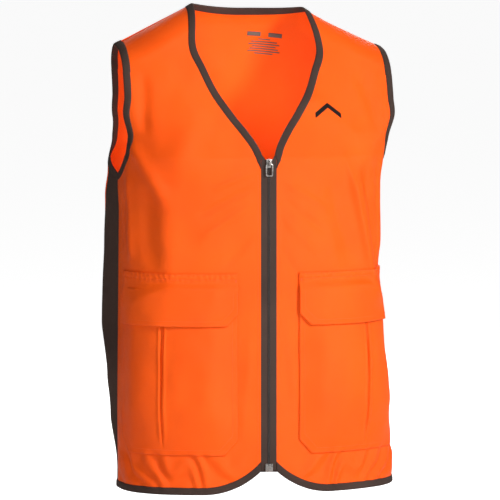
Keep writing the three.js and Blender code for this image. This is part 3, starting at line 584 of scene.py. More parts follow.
def back_rows():
    allowance = BINDING_WIDTH - TUCK
    rows = []
    share = np.linspace(-1, 1, 121)
    for level in lower_levels():
        edge = girth(BACK, level) - side_panel_width(level)
        if level > UNDERARM_Z + TUCK:
            edge = min(edge, armhole_across(BACK, level, allowance))
        z = follow_hem(np.full_like(share, level), HEM_Z + allowance)
        rows.append((share * edge, z))
    x_yoke = form_point(BACK, rows[-1][0], YOKE_Z)[..., 0]
    share = x_yoke / x_yoke[-1]
    for step in YOKE_STEPS:
        across = share * (armhole_x(BACK, float(yoke_z(-SHOULDER_DROP, step))) - allowance)
        in_neck = np.abs(across) < NECK_HALF + allowance
        top = np.where(in_neck, back_neck_z(across, allowance), shoulder_z(across))
        rows.append((across, yoke_z(top, step)))
    return rows


def side_rows():
    allowance = BINDING_WIDTH - TUCK
    share = np.linspace(0, 1, 25)
    beside = share * SIDE_PANEL_TOP / (armhole_reach(BACK) + allowance)
    curve = (1 - beside**ARMHOLE_ROUND) ** (1 / ARMHOLE_ROUND)
    top = ARMHOLE_TURN_Z - (ARMHOLE_TURN_Z - ARMHOLE_Z + allowance) * curve
    rows = []
    for t in np.linspace(0, 1, 110):
        z = lerp(HEM_Z + allowance, top, t)
        rows.append((girth(BACK, z) - lerp(0, side_panel_width(z), share), z))
    return rows


# ---------- bindings ----------
# The folded tape in section: share of its width from the finished edge, and its offset.
BINDING_LOOP = (
    (1.0, 1.1), (0.93, 1.9), (0.7, 2.15), (0.4, 2.25), (0.16, 2.15), (0.05, 1.7), (0.0, 0.9),
    (0.03, 0.1), (0.14, -0.5), (0.4, -0.75), (0.75, -0.7), (0.94, -0.45), (1.0, 0.1),
)


def binding_piece(name, face, side, place, gather=0.0):
    """A tape folded over an edge; its folded width is BINDING_WIDTH and its length is that of the line.

    place(allowance) gives the distances and heights of the line that far from the finished edge, and
    gather is the height of the small gathers where the tape runs round the tight curve under the arm.
    """
    loops = []
    for share, offset in BINDING_LOOP:
        across, z = place(share * BINDING_WIDTH)
        tight = smooth((-0.185 - z) / 0.025)
        run = np.concatenate([[0], np.cumsum(np.hypot(np.diff(across), np.diff(z)))])
        ripple = gather * tight * np.sin(run / (0.62 * MM) + share * 0.8) * (0.4 + share * (1 - share) * 2.4)
        loops.append(on_cloth(face, side, across, z, offset * MM + ripple * (offset > 0)))
    rings = np.stack(loops, 1)
    piece = tube_piece(name, rings)
    return piece


def neck_front_line(allowance):
    share = allowance / BINDING_WIDTH
    wedge = np.linspace(V_BOTTOM_Z - 15 * MM, V_BOTTOM_Z + 4 * MM, 16)
    levels = np.concatenate([wedge, np.linspace(-218, -104, 48) * MM])
    across = [lerp(neck_edge(z), neck_seam(z), share) for z in levels]
    above = [YOKE_Z * (1 - step) ** 2 for step in YOKE_STEPS[:-1]]
    top = [lerp(neck_edge(z), neck_seam(z), share) for z in above]
    top.append(NECK_HALF + allowance)
    top = np.array(top)
    x_to_s = [distance_at_x(FRONT, a, z) if z <= YOKE_Z else a for a, z in zip(across, levels)]
    heights = yoke_z(shoulder_z(top), YOKE_STEPS)
    return np.concatenate([x_to_s, top]), np.concatenate([levels, heights])


def neck_back_line(allowance):
    across = np.linspace(-1, 1, 81) * (NECK_HALF + allowance)
    return across, back_neck_z(across, allowance)


def armhole_under(face, allowance):
    """From the side seam round under the arm to where the armhole runs straight up."""
    angle = np.linspace(0, math.pi / 2, 110)
    z = ARMHOLE_TURN_Z - (ARMHOLE_TURN_Z - ARMHOLE_Z + allowance) * np.cos(angle) ** (2 / ARMHOLE_ROUND)
    return np.array([armhole_across(face, level, allowance) for level in z]), z


def armhole_up(face, allowance):
    """From there to the shoulder tip."""
    levels = np.linspace(ARMHOLE_TURN_Z, YOKE_Z, 24)
    across = [armhole_across(face, z, allowance) for z in levels]
    top = np.array([armhole_x(face, float(yoke_z(-SHOULDER_DROP, t))) - allowance for t in YOKE_STEPS])
    return np.concatenate([across, top]), np.concatenate([levels, yoke_z(shoulder_z(top), YOKE_STEPS)])


def joined_lines(*lines):
    """Lines end to end, without the point that each shares with the one before."""
    first = lines[0]
    return (
        np.concatenate([first[0]] + [a[1:] for a, _ in lines[1:]]),
        np.concatenate([first[1]] + [z[1:] for _, z in lines[1:]]),
    )


def armhole_front(allowance):
    return joined_lines(armhole_under(FRONT, allowance), armhole_up(FRONT, allowance))


def armhole_up_back(allowance):
    return armhole_up(BACK, allowance)


def armhole_under_back(allowance):
    return armhole_under(BACK, allowance)


def hem_front_line(allowance):
    across = columns_from(PANEL_INNER, girth(FRONT, HEM_Z), 60)
    share = allowance / BINDING_WIDTH
    return across, lerp(front_hem_z(across), front_hem_seam_z(across), share)


def hem_back_line(allowance):
    z = HEM_Z + allowance
    across = np.linspace(0, girth(BACK, z), 90)
    return across, np.full_like(across, z)


def stays_with_back(piece, name):
    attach(piece, "root")


def swings_with_front(piece, name):
    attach(piece, "front_" + name)


def turns_with_front(piece, name):
    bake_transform(piece)


def turns_with_side(piece, name):
    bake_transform(piece)


# ---------- materials ----------
def node(tree, kind, inputs=None, **settings):
    made = tree.nodes.new(kind)
    for key, value in settings.items():
        setattr(made, key, value)
    for key, value in (inputs or {}).items():
        if isinstance(value, bpy.types.NodeSocket):
            tree.links.new(value, made.inputs[key])
        else:
            made.inputs[key].default_value = value
    return made


def weave_group():
    """Threads over and under on the cloth's own map: a height, and the grain noise behind the slubs as a mask.
    """
    group = bpy.data.node_groups.new("Woven threads", "ShaderNodeTree")
    for name, default in (("Across", 0.7), ("Along", 0.7), ("Slub", 0.25)):
        socket = group.interface.new_socket(name, in_out="INPUT", socket_type="NodeSocketFloat")
        socket.default_value = default
    for name in ("Height", "Slub mask"):
        group.interface.new_socket(name, in_out="OUTPUT", socket_type="NodeSocketFloat")
    start = group.nodes.new("NodeGroupInput")
    end = group.nodes.new("NodeGroupOutput")
    uv = node(group, "ShaderNodeUVMap", uv_map="cloth")
    split = node(group, "ShaderNodeSeparateXYZ", {0: uv.outputs[0]})

    def math_node(operation, *values):
        return node(group, "ShaderNodeMath", dict(enumerate(values)), operation=operation).outputs[0]

    turns = 2 * math.pi / MM
    across = math_node("DIVIDE", math_node("MULTIPLY", split.outputs[0], turns), start.outputs["Across"])
    along = math_node("DIVIDE", math_node("MULTIPLY", split.outputs[1], turns), start.outputs["Along"])
    warp = math_node("SINE", across)
    weft = math_node("SINE", along)
    over = math_node("MULTIPLY", warp, weft)
    grain = {"Vector": uv.outputs[0], "Scale": 900.0, "Detail": 3.0, "Roughness": 0.6}
    noise = node(group, "ShaderNodeTexNoise", grain)
    slub = math_node("MULTIPLY", math_node("SUBTRACT", noise.outputs["Fac"], 0.5), start.outputs["Slub"])
    group.links.new(math_node("ADD", over, slub), end.inputs["Height"])
    group.links.new(noise.outputs["Fac"], end.inputs["Slub mask"])
    return group


def fade_group():
    """Soft patches of wear and handling over the whole piece, from its own coordinates."""
    group = bpy.data.node_groups.new("Cloth variation", "ShaderNodeTree")
    socket = group.interface.new_socket("Size", in_out="INPUT", socket_type="NodeSocketFloat")
    socket.default_value = 9.0
    group.interface.new_socket("Patches", in_out="OUTPUT", socket_type="NodeSocketFloat")
    group.interface.new_socket("Specks", in_out="OUTPUT", socket_type="NodeSocketFloat")
    start = group.nodes.new("NodeGroupInput")
    end = group.nodes.new("NodeGroupOutput")
    place = group.nodes.new("ShaderNodeTexCoord")
    patches = node(group, "ShaderNodeTexNoise", {"Vector": place.outputs["Object"], "Detail": 4.0})
    group.links.new(start.outputs["Size"], patches.inputs["Scale"])
    grain = {"Vector": place.outputs["Object"], "Scale": 420.0, "Detail": 2.0}
    specks = node(group, "ShaderNodeTexNoise", grain)
    group.links.new(patches.outputs["Fac"], end.inputs["Patches"])
    group.links.new(specks.outputs["Fac"], end.inputs["Specks"])
    return group


GROUPS = {}


def new_material(name):
    material = bpy.data.materials.new(name)
    material.use_nodes = True
    return material, material.node_tree, material.node_tree.nodes["Principled BSDF"]


def two_tone(tree, factor, light, dark):
    """The colour between dark and light that the factor picks."""
    tint = node(tree, "ShaderNodeMix", {"Factor": factor, 6: (*dark, 1), 7: (*light, 1)}, data_type="RGBA")
    return tint.outputs[2]


def speckled_roughness(tree, shader, specks, low, high):
    rough = node(tree, "ShaderNodeMapRange", {0: specks, 1: 0.3, 2: 0.7, 3: low, 4: high})
    tree.links.new(rough.outputs[0], shader.inputs["Roughness"])


def raise_relief(tree, shader, height, distance, strength):
    bump = node(tree, "ShaderNodeBump", {"Height": height, "Distance": distance, "Strength": strength})
    tree.links.new(bump.outputs[0], shader.inputs["Normal"])


def cloth_material(name, light, dark, roughness, thread, relief, sheen, slub=0.5):
    """Woven or knitted cloth: colour that varies softly, threads in relief, and painted shade in the gaps
    between threads.
    """
    material, tree, shader = new_material(name)
    sizes = {"Across": thread[0], "Along": thread[1], "Slub": slub}
    weave = node(tree, "ShaderNodeGroup", node_tree=GROUPS["weave"])
    for key, value in sizes.items():
        weave.inputs[key].default_value = value
    fade = node(tree, "ShaderNodeGroup", node_tree=GROUPS["fade"])
    patch = node(tree, "ShaderNodeMapRange", {0: fade.outputs["Patches"], 1: 0.35, 2: 0.65, 3: 0.0, 4: 1.0})
    tint = two_tone(tree, patch.outputs[0], light, dark)
    # Painted shade: the colour is darkened by up to 14% where the weave is low, in the gaps between threads.
    depth = node(tree, "ShaderNodeMapRange", {0: weave.outputs["Height"], 1: -1.2, 2: 0.4, 3: 0.86, 4: 1.0})
    shade = node(tree, "ShaderNodeMix", {"Factor": 1.0, 6: tint}, data_type="RGBA", blend_type="MULTIPLY")
    tree.links.new(depth.outputs[0], shade.inputs[7])
    tree.links.new(shade.outputs[2], shader.inputs["Base Color"])
    speckled_roughness(tree, shader, fade.outputs["Specks"], roughness - 0.06, roughness + 0.06)
    raise_relief(tree, shader, weave.outputs["Height"], relief, 0.6)
    shader.inputs["Sheen Weight"].default_value = sheen
    shader.inputs["Sheen Roughness"].default_value = 0.5
    shader.inputs["Sheen Tint"].default_value = (*light, 1)
    shader.inputs["Specular IOR Level"].default_value = 0.16
    return material


def metal_material(name, light, dark, roughness):
    """Plated metal with fine brushing and rubbed high spots."""
    material, tree, shader = new_material(name)
    fade = node(tree, "ShaderNodeGroup", node_tree=GROUPS["fade"])
    fade.inputs["Size"].default_value = 260.0
    tree.links.new(two_tone(tree, fade.outputs["Patches"], light, dark), shader.inputs["Base Color"])
    speckled_roughness(tree, shader, fade.outputs["Specks"], roughness - 0.08, roughness + 0.1)
    raise_relief(tree, shader, fade.outputs["Specks"], 0.02 * MM, 0.4)
    shader.inputs["Metallic"].default_value = 1.0
    return material


def nylon_material(name, light, dark, roughness):
    """Dyed nylon with fine moulding grain."""
    material = metal_material(name, light, dark, roughness)
    material.node_tree.nodes["Principled BSDF"].inputs["Metallic"].default_value = 0.0
    return material


MATERIALS = {}


def finish_piece(piece, material, slot, *replaced):
    """Gives a piece its finish and hides the nodes of the frame that it stands for."""
    piece.data.materials.clear()
    piece.data.materials.append(MATERIALS[material])
    if replaced:
        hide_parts(*replaced)
    return piece


def surface_area(grid):
    a = np.cross(grid[1:, 1:] - grid[:-1, :-1], grid[1:, :-1] - grid[:-1, 1:])
    return float(np.linalg.norm(a, axis=-1).sum() / 2)


def declare_sheet(grid):
    """Works out a sheet's area and the length and width of its grid of points, and keeps none of them."""
    area = surface_area(grid)
    length, width = (
        float(np.linalg.norm(np.diff(grid, axis=k), axis=-1).sum(k).max()) for k in (0, 1)
    )
    area = min(area, width * length)


# ---------- settings ----------
class VestSettings(bpy.types.PropertyGroup):
    """Sizes and colours that a user would change."""

    main_light: bpy.props.FloatVectorProperty(
        name="Main cloth", description="Main colour of the cloth", subtype="COLOR", size=3,
        default=(0.96, 0.104, 0.0025), min=0, max=1,
    )
    main_dark: bpy.props.FloatVectorProperty(
        name="Main cloth, worn", description="Its colour in the duller patches", subtype="COLOR", size=3,
        default=(0.92, 0.090, 0.0015), min=0, max=1,
    )
    trim_light: bpy.props.FloatVectorProperty(
        name="Trim", description="Colour of the bindings and tapes", subtype="COLOR", size=3,
        default=(0.062, 0.038, 0.030), min=0, max=1,
    )
    trim_dark: bpy.props.FloatVectorProperty(
        name="Trim, worn", description="Trim colour in its darker patches", subtype="COLOR", size=3,
        default=(0.043, 0.026, 0.021), min=0, max=1,
    )
    pouch_full_left: bpy.props.FloatProperty(
        name="Left pocket fullness", description="How far the left pouch stands off", default=10 * MM,
        min=0.0, max=13 * MM, subtype="DISTANCE", unit="LENGTH",
    )
    pouch_full_right: bpy.props.FloatProperty(
        name="Right pocket fullness", description="How far the right pouch stands off", default=8 * MM,
        min=0.0, max=13 * MM, subtype="DISTANCE", unit="LENGTH",
    )
    stitch_length: bpy.props.FloatProperty(
        name="Stitch length", description="Length of one topstitch", default=2.9 * MM,
        min=1 * MM, max=6 * MM, subtype="DISTANCE", unit="LENGTH",
    )


def settings():
    return bpy.context.scene.vest_settings


BLACK, DEEP_BLACK = (0.012, 0.009, 0.008), (0.006, 0.005, 0.004)
PRINT, DARK_PRINT = (0.16, 0.12, 0.10), (0.10, 0.075, 0.065)


class VEST_OT_materials(bpy.types.Operator):
    """Make the vest's cloths, metals and threads"""

    bl_idname = "vest.materials"
    bl_label = "Vest Materials"

    def execute(self, context):
        s = settings()
        GROUPS["weave"] = weave_group()
        GROUPS["fade"] = fade_group()
        cloths = (
            ("main", "Main cloth", s.main_light, s.main_dark, 0.5, (0.62, 0.74), 0.12 * MM, 0.0),
            ("trim", "Binding tape", s.trim_light, s.trim_dark, 0.82, (6.0, 1.1), 0.22 * MM, 0.3),
            ("side", "Stretch knit", s.trim_light, s.trim_dark, 0.9, (1.6, 0.9), 0.3 * MM, 0.45, 0.8),
            ("tape", "Zip tape", s.trim_light, s.trim_dark, 0.8, (0.9, 1.3), 0.16 * MM, 0.2),
            ("strip", "Hook and loop", s.main_dark, s.main_dark, 0.95, (0.8, 0.8), 0.4 * MM, 0.5, 1.2),
            ("emblem", "Embroidery", BLACK, DEEP_BLACK, 0.55, (0.5, 4.0), 0.35 * MM, 0.3),
            ("print", "Label print", PRINT, DARK_PRINT, 0.85, (0.62, 0.74), 0.06 * MM, 0.0),
        )
        for key, *values in cloths:
            MATERIALS[key] = cloth_material(*values)
        thread = tuple(0.86 * c for c in s.main_light)
        MATERIALS["thread"] = nylon_material("Main thread", s.main_light, thread, 0.55)
        MATERIALS["coil"] = nylon_material("Zip coil", (0.022, 0.015, 0.013), (0.012, 0.009, 0.008), 0.4)
        MATERIALS["metal"] = metal_material("Gunmetal", (0.42, 0.40, 0.38), (0.15, 0.14, 0.13), 0.3)
        return {"FINISHED"}


class VEST_OT_panels(bpy.types.Operator):
    """Hang the fronts, the back and the two side panels"""

    bl_idname = "vest.panels"
    bl_label = "Panels"

    def execute(self, context):
        back, outer = cloth_piece("back_cloth", BACK, 1, stacked(back_rows()), 0.0, CLOTH)
        finish_piece(back, "main", "orange_cloth", "back_panel")
        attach(back, "root")
        declare_sheet(outer)
        for name, side in SIDES:
            front, outer = cloth_piece("front_cloth_" + name, FRONT, side, stacked(front_rows()), 0.0, CLOTH)
            finish_piece(front, "main", "orange_cloth", "front_panel_" + name, "front_shoulder_" + name)
            turns_with_front(front, name)
            declare_sheet(outer)
            panel, outer = cloth_piece("side_cloth_" + name, BACK, side, stacked(side_rows()), 0.0, CLOTH)
            finish_piece(panel, "side", "stretch_side", "side_panel_" + name)
            turns_with_side(panel, name)
            declare_sheet(outer)
        return {"FINISHED"}


GATHER = 0.42 * MM


class VEST_OT_bindings(bpy.types.Operator):
    """Fold the binding tape over the neck, armholes and hem"""

    bl_idname = "vest.bindings"
    bl_label = "Bindings"

    def execute(self, context):
        neck = binding_piece("neck_tape_back", BACK, 1, neck_back_line)
        finish_piece(neck, "trim", "brown_binding", "neck_binding_back")
        stays_with_back(neck, "")
        for name, side in SIDES:
            front_nodes = ("neck_binding_front_" + name, "neck_binding_shoulder_" + name)
            for tape, face, line, gather, moves, nodes in (
                ("neck_tape_", FRONT, neck_front_line, 0.0, turns_with_front, front_nodes),
                ("armhole_tape_front_", FRONT, armhole_front, GATHER, turns_with_front,
                 ("armhole_binding_front_" + name,)),
                ("armhole_tape_back_", BACK, armhole_up_back, 0.0, stays_with_back,
                 ("armhole_binding_" + name,)),
                ("armhole_tape_under_", BACK, armhole_under_back, 0.0, turns_with_side, ()),
                ("hem_tape_front_", FRONT, hem_front_line, 0.0, swings_with_front,
                 ("hem_binding_front_" + name,)),
                ("hem_tape_back_", BACK, hem_back_line, 0.0, turns_with_side, ("hem_binding_back",)),
            ):
                piece = binding_piece(tape + name, face, side, line, gather)
                finish_piece(piece, "trim", "brown_binding", *nodes)
                moves(piece, name)
        return {"FINISHED"}


# ---------- pockets ----------
def pouch_edge(across):
    return np.minimum(across - POCKET_INNER, POCKET_OUTER - across)


def fullness(side):
    return settings().pouch_full_left if side > 0 else settings().pouch_full_right


def pouch_rise(side, across, z):
    rise = fullness(side) * smooth(pouch_edge(across) / 0.042) * smooth((z - POCKET_BOTTOM_Z) / 0.075)
    rise = rise * lerp(0.45, 1.0, smooth((POCKET_MOUTH_Z - z) / 0.11))
    sag = 1 + 0.16 * value_noise(across, z, 0.06, 40 + side) + 0.07 * value_noise(across, z, 0.02, 44 + side)
    return rise * sag


def pouch_offset(side, across, z):
    """The pouch's inner face: full in the middle, with a sharp inverted pleat down it."""
    rise = pouch_rise(side, across, z)
    off = np.abs(across - PLEAT_AT)
    drift = off + 2.2 * MM * np.sin((z - POCKET_BOTTOM_Z) / 0.045) * (across < PLEAT_AT)
    groove = np.exp(-((drift / (1.5 * MM)) ** 2)) * (3 * MM + 0.6 * rise)
    lip = np.exp(-(((off - 4 * MM) / (2.5 * MM)) ** 2)) * 1.3 * MM
    slack = np.exp(-((off / (26 * MM)) ** 2)) * 2.4 * MM
    share = smooth(rise / (5 * MM))
    return POUCH_LOW + np.maximum(rise + (lip - groove - slack) * share, 0)


def pouch_rows():
    climb = POCKET_MOUTH_Z + 4 * MM - POCKET_BOTTOM_Z
    by_pleat = (PLEAT_AT - POCKET_INNER + np.linspace(-9, 9, 19) * MM) / POCKET_WIDE
    share = np.unique(np.concatenate([np.linspace(0, 1, 56), by_pleat]))
    corner = CORNER_TALL / climb
    rows = []
    for t in np.concatenate([np.linspace(0, corner, 8)[:-1], np.linspace(corner, 1, 56)]):
        z = POCKET_BOTTOM_Z + climb * t
        cut = CORNER_WIDE * float(clamp(1 - climb * t / CORNER_TALL))
        across = np.clip(POCKET_INNER + share * POCKET_WIDE, POCKET_INNER, POCKET_OUTER)
        squeezed = lerp(POCKET_INNER + cut, POCKET_OUTER - cut, share)
        rows.append((squeezed if cut > 0 else across, np.full_like(share, z)))
    return rows


def seam_pucker(across, z, seam_z, seed):
    """Small puckers along a row of stitches at one height."""
    wave = np.sin(across / (1.35 * MM) + 2.5 * value_noise(across, z, 0.012, seed))
    near = np.exp(-(((z - seam_z) / (4.5 * MM)) ** 2))
    return 0.62 * MM * near * (0.5 + 0.5 * wave) - 0.4 * MM * np.exp(-(((z - seam_z) / (1.2 * MM)) ** 2))


def flap_offset(side, across, z):
    """The flap starts flat on the front and steps out over the pouch's mouth."""
    below = np.minimum(z, POCKET_MOUTH_Z)
    over = POUCH_LOW + pouch_rise(side, across, below) + CLOTH + 2.3 * MM
    uneven = 0.3 + value_noise(across, z, 0.045, 60 + side)
    curl = 2.6 * MM * smooth((FLAP_BOTTOM_Z + 0.03 - z) / 0.03) * uneven
    start = 1.4 * MM
    for seed, seam in zip((72, 71), BAND_SEAMS):
        start = start + seam_pucker(across, z, BAND_TOP_Z - seam, seed)
    step = smooth((FLAP_HINGE_Z + 1 * MM - z) / (14 * MM + 0.03 * smooth((across - 0.15) / 0.08)))
    return lerp(start, over, step) + np.maximum(curl, 0)


def flap_rows():
    share = np.linspace(0, 1, 150)
    drop = BAND_TOP_Z - FLAP_BOTTOM_Z
    seams, middle, hem = np.linspace(0, 0.16, 20), np.linspace(0.16, 0.75, 24), np.linspace(0.75, 1, 12)
    rows = []
    for t in np.concatenate([seams[:-1], middle[:-1], hem]):
        z = BAND_TOP_Z - drop * t
        cut = FLAP_CORNER_WIDE * float(clamp(1 - (z - FLAP_BOTTOM_Z) / FLAP_CORNER_TALL))
        rows.append((lerp(POCKET_INNER + cut, POCKET_OUTER, share), np.full_like(share, z)))
    return rows


class VEST_OT_pockets(bpy.types.Operator):
    """Sew on the cargo pockets and their flaps"""

    bl_idname = "vest.pockets"
    bl_label = "Pockets"

    def execute(self, context):
        for name, side in SIDES:
            grid = stacked(pouch_rows())
            low = pouch_offset(side, *grid)
            pouch, outer = cloth_piece("pouch_cloth_" + name, FRONT, side, grid, low, low + CLOTH)
            finish_piece(pouch, "main", "orange_cloth", "pocket_pouch_" + name)
            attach(pouch, "front_" + name)
            declare_sheet(outer)
            grid = stacked(flap_rows())
            low = flap_offset(side, *grid)
            flap, outer = cloth_piece("flap_cloth_" + name, FRONT, side, grid, low, low + FLAP_CLOTH)
            finish_piece(flap, "main", "orange_cloth", "pocket_flap_" + name, "pocket_band_" + name)
            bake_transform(flap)
            declare_sheet(outer)
            self.strips(name, side)
        return {"FINISHED"}

    def strips(self, name, side):
        """The hook strip under the flap and the loop strip on the pouch."""
        low_z, high_z = -468 * MM, -448 * MM
        start, wide, thick = POCKET_INNER + 62 * MM, 76 * MM, 0.8 * MM
        shape = (6, 20)
        across = np.broadcast_to(start + np.linspace(0, 1, shape[1]) * wide, shape)
        z = np.broadcast_to(np.linspace(low_z, high_z, shape[0])[:, None], shape)
        on_pouch = pouch_offset(side, across, z) + CLOTH
        under_flap = flap_offset(side, across, z)
        for kind, low, high, body in (
            ("loop", on_pouch, on_pouch + thick, "front_"),
            ("hook", under_flap - thick, under_flap, "flap_"),
        ):
            strip, outer = cloth_piece(f"{kind}_strip_{name}", FRONT, side, (across, z), low, high)
            finish_piece(strip, "strip", "hook_and_loop", f"pocket_{kind}_strip_{name}")
            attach(strip, body + name)
            declare_sheet(outer)


# ---------- zip ----------
def refined(name, node_name, width):
    """A bevelled piece made from a node of the frame."""
    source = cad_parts[node_name]
    piece = bpy.data.objects.new(name, source.data.copy())
    bpy.context.scene.collection.objects.link(piece)
    shape = bmesh.new()
    shape.from_mesh(piece.data)
    bmesh.ops.remove_doubles(shape, verts=shape.verts, dist=0.01 * MM)
    bmesh.ops.dissolve_limit(shape, angle_limit=math.radians(1), verts=shape.verts, edges=shape.edges)
    shape.to_mesh(piece.data)
    shape.free()
    bpy.ops.object.select_all(action="DESELECT")
    piece.select_set(True)
    bpy.context.view_layer.objects.active = piece
    bevel = piece.modifiers.new("Rounded edges", "BEVEL")
    bevel.width = width
    bevel.segments = 2
    bevel.limit_method = "ANGLE"
    bevel.angle_limit = math.radians(40)
    bpy.ops.object.modifier_apply(modifier=bevel.name)
    bpy.ops.object.shade_smooth_by_angle(angle=math.radians(40))
    return piece


def tape_rows():
    """The tape's top edge climbs from the slider to the neck bindings on either side of it."""
    across = np.concatenate([[0.08], np.linspace(0.6, 12.0, 18)]) * MM
    top = ZIP_TOP_Z + 2 * MM + 6 * MM * smooth((across - 4.5 * MM) / (6 * MM))
    return [(across, lerp(ZIP_BOTTOM_Z + 1 * MM, top, t)) for t in np.linspace(0, 1, 190)]


def coil_piece(name, side):
    """Half of the closed coil: a row of rounded teeth."""
    pitch = 1.5 * MM
    low, high = ZIP_BOTTOM_Z + 12 * MM, ZIP_TOP_Z - 3.2 * MM
    angle = np.linspace(0, 2 * math.pi, 8, endpoint=False)
    swells = ((0.05, 0.75), (0.35, 1.0), (1.5, 1.0), (1.9, 0.7))
    loops, faces = [], []
    for k in range(int((high - low) / pitch)):
        centre = low + pitch * (k + (0.5 if side > 0 else 0.0) + 0.25)
        faces += tube_faces(len(swells), len(angle), len(loops) * len(angle))
        for x, size in swells:
            y = -FRONT_DEPTH - (COIL_OUT + 0.5 * size * np.sin(angle)) * MM
            z = centre + 0.6 * size * np.cos(angle) * MM
            loops.append(np.stack([np.full_like(angle, side * x * MM), y, z], -1))
    points = np.concatenate(loops)
    return new_object(name, points, oriented(points, faces))


class VEST_OT_zip(bpy.types.Operator):
    """Fit the zip: tapes, coil, stops, slider, pull, box and pin"""

    bl_idname = "vest.zip"
    bl_label = "Zip"

    def execute(self, context):
        for name, side in SIDES:
            grid = stacked(tape_rows())
            tape, outer = cloth_piece("tape_cloth_" + name, FRONT, side, grid, 0.4 * MM, 1.1 * MM)
            finish_piece(tape, "tape", "zip_tape", "zip_tape_" + name)
            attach(tape, "front_" + name)
            declare_sheet(outer)
            coil = coil_piece("coil_" + name, side)
            finish_piece(coil, "coil", "zip_nylon", "zip_coil_" + name)
            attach(coil, "front_" + name)
            stop = refined("stop_" + name, "zip_top_stop_" + name, 0.3 * MM)
            finish_piece(stop, "metal", "gunmetal", "zip_top_stop_" + name)
            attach(stop, "front_" + name)
        for name, source, body, material, slot in (
            ("slider", "zip_slider", "slider", "metal", "gunmetal"),
            ("pull", "zip_pull", "pull", "metal", "gunmetal"),
            ("retainer", "zip_retainer_box", "front_right", "metal", "gunmetal"),
            ("pin", "zip_insertion_pin", "front_left", "coil", "zip_nylon"),
        ):
            piece = refined(name, source, 0.25 * MM)
            finish_piece(piece, material, slot, source)
            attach(piece, body)
        return {"FINISHED"}


# ---------- stitching ----------
def stitch_mesh(points, normals):
    """One small rounded stitch along each step of a line of points."""
    length = settings().stitch_length
    thick, bulge = 0.33 * MM, 0.12 * MM
    run = run_along(points)
    pitch = length * 1.28
    turns = [(math.cos(a * math.pi / 3), math.sin(a * math.pi / 3)) for a in range(6)]
    swells = ((0.0, 0.35), (0.22, 1.0), (0.78, 1.0), (1.0, 0.35))
    verts, faces = [], []
    for k in range(int(run[-1] / pitch)):
        at = pitch * (k + 0.14)
        first, last = ([np.interp(d, run, points[:, c]) for c in range(3)] for d in (at, at + length))
        first, last = np.array(first), np.array(last)
        along = last - first
        if np.linalg.norm(along) < length * 0.5:
            continue
        along = along / np.linalg.norm(along)
        up = np.array([np.interp(at + length / 2, run, normals[:, c]) for c in range(3)])
        up = up - along * (up @ along)
        up = up / np.linalg.norm(up)
        beside = np.cross(along, up)
        faces += tube_faces(len(swells), len(turns), len(verts))
        for t, size in swells:
            centre = lerp(first, last, t) + up * (bulge * math.sin(math.pi * t))
            verts += [centre + (beside * c + up * d) * thick * size for c, d in turns]
    return verts, faces


def stitches(name, side, lines):
    """Topstitching along lines on the cloth. Each line gives face, distances, heights and offsets."""
    points, faces = [], []
    for face, across, z, offset in lines:
        path = on_cloth(face, side, across, z, offset)
        normals = form_normal(face, np.asarray(across, float), np.asarray(z, float))
        normals[..., 0] *= side
        stitch_points, stitch_faces = stitch_mesh(path, normals)
        faces += [tuple(len(points) + i for i in corners) for corners in stitch_faces]
        points += stitch_points
    return new_object(name, np.array(points), oriented(points, faces))


def inset_outline(inset, top_z, bottom_z, wide, tall, outer_corner):
    """An outline just inside a pocket or flap: down the inner edge, along the bottom, up the outer edge."""
    left, right = POCKET_INNER + inset, POCKET_OUTER - inset
    low = bottom_z + inset
    corner = [(left, low + tall), (left + wide, low)]
    far = [(right - wide, low), (right, low + tall)] if outer_corner else [(right, low)]
    corners = [(left, top_z), *corner, *far, (right, top_z)]
    out = []
    for (a0, z0), (a1, z1) in zip(corners, corners[1:]):
        steps = max(2, int(math.hypot(a1 - a0, z1 - z0) / (2 * MM)))
        t = np.linspace(0, 1, steps, endpoint=False)
        out.append(np.stack([lerp(a0, a1, t), lerp(z0, z1, t)], -1))
    return np.concatenate(out + [np.array([corners[-1]])])


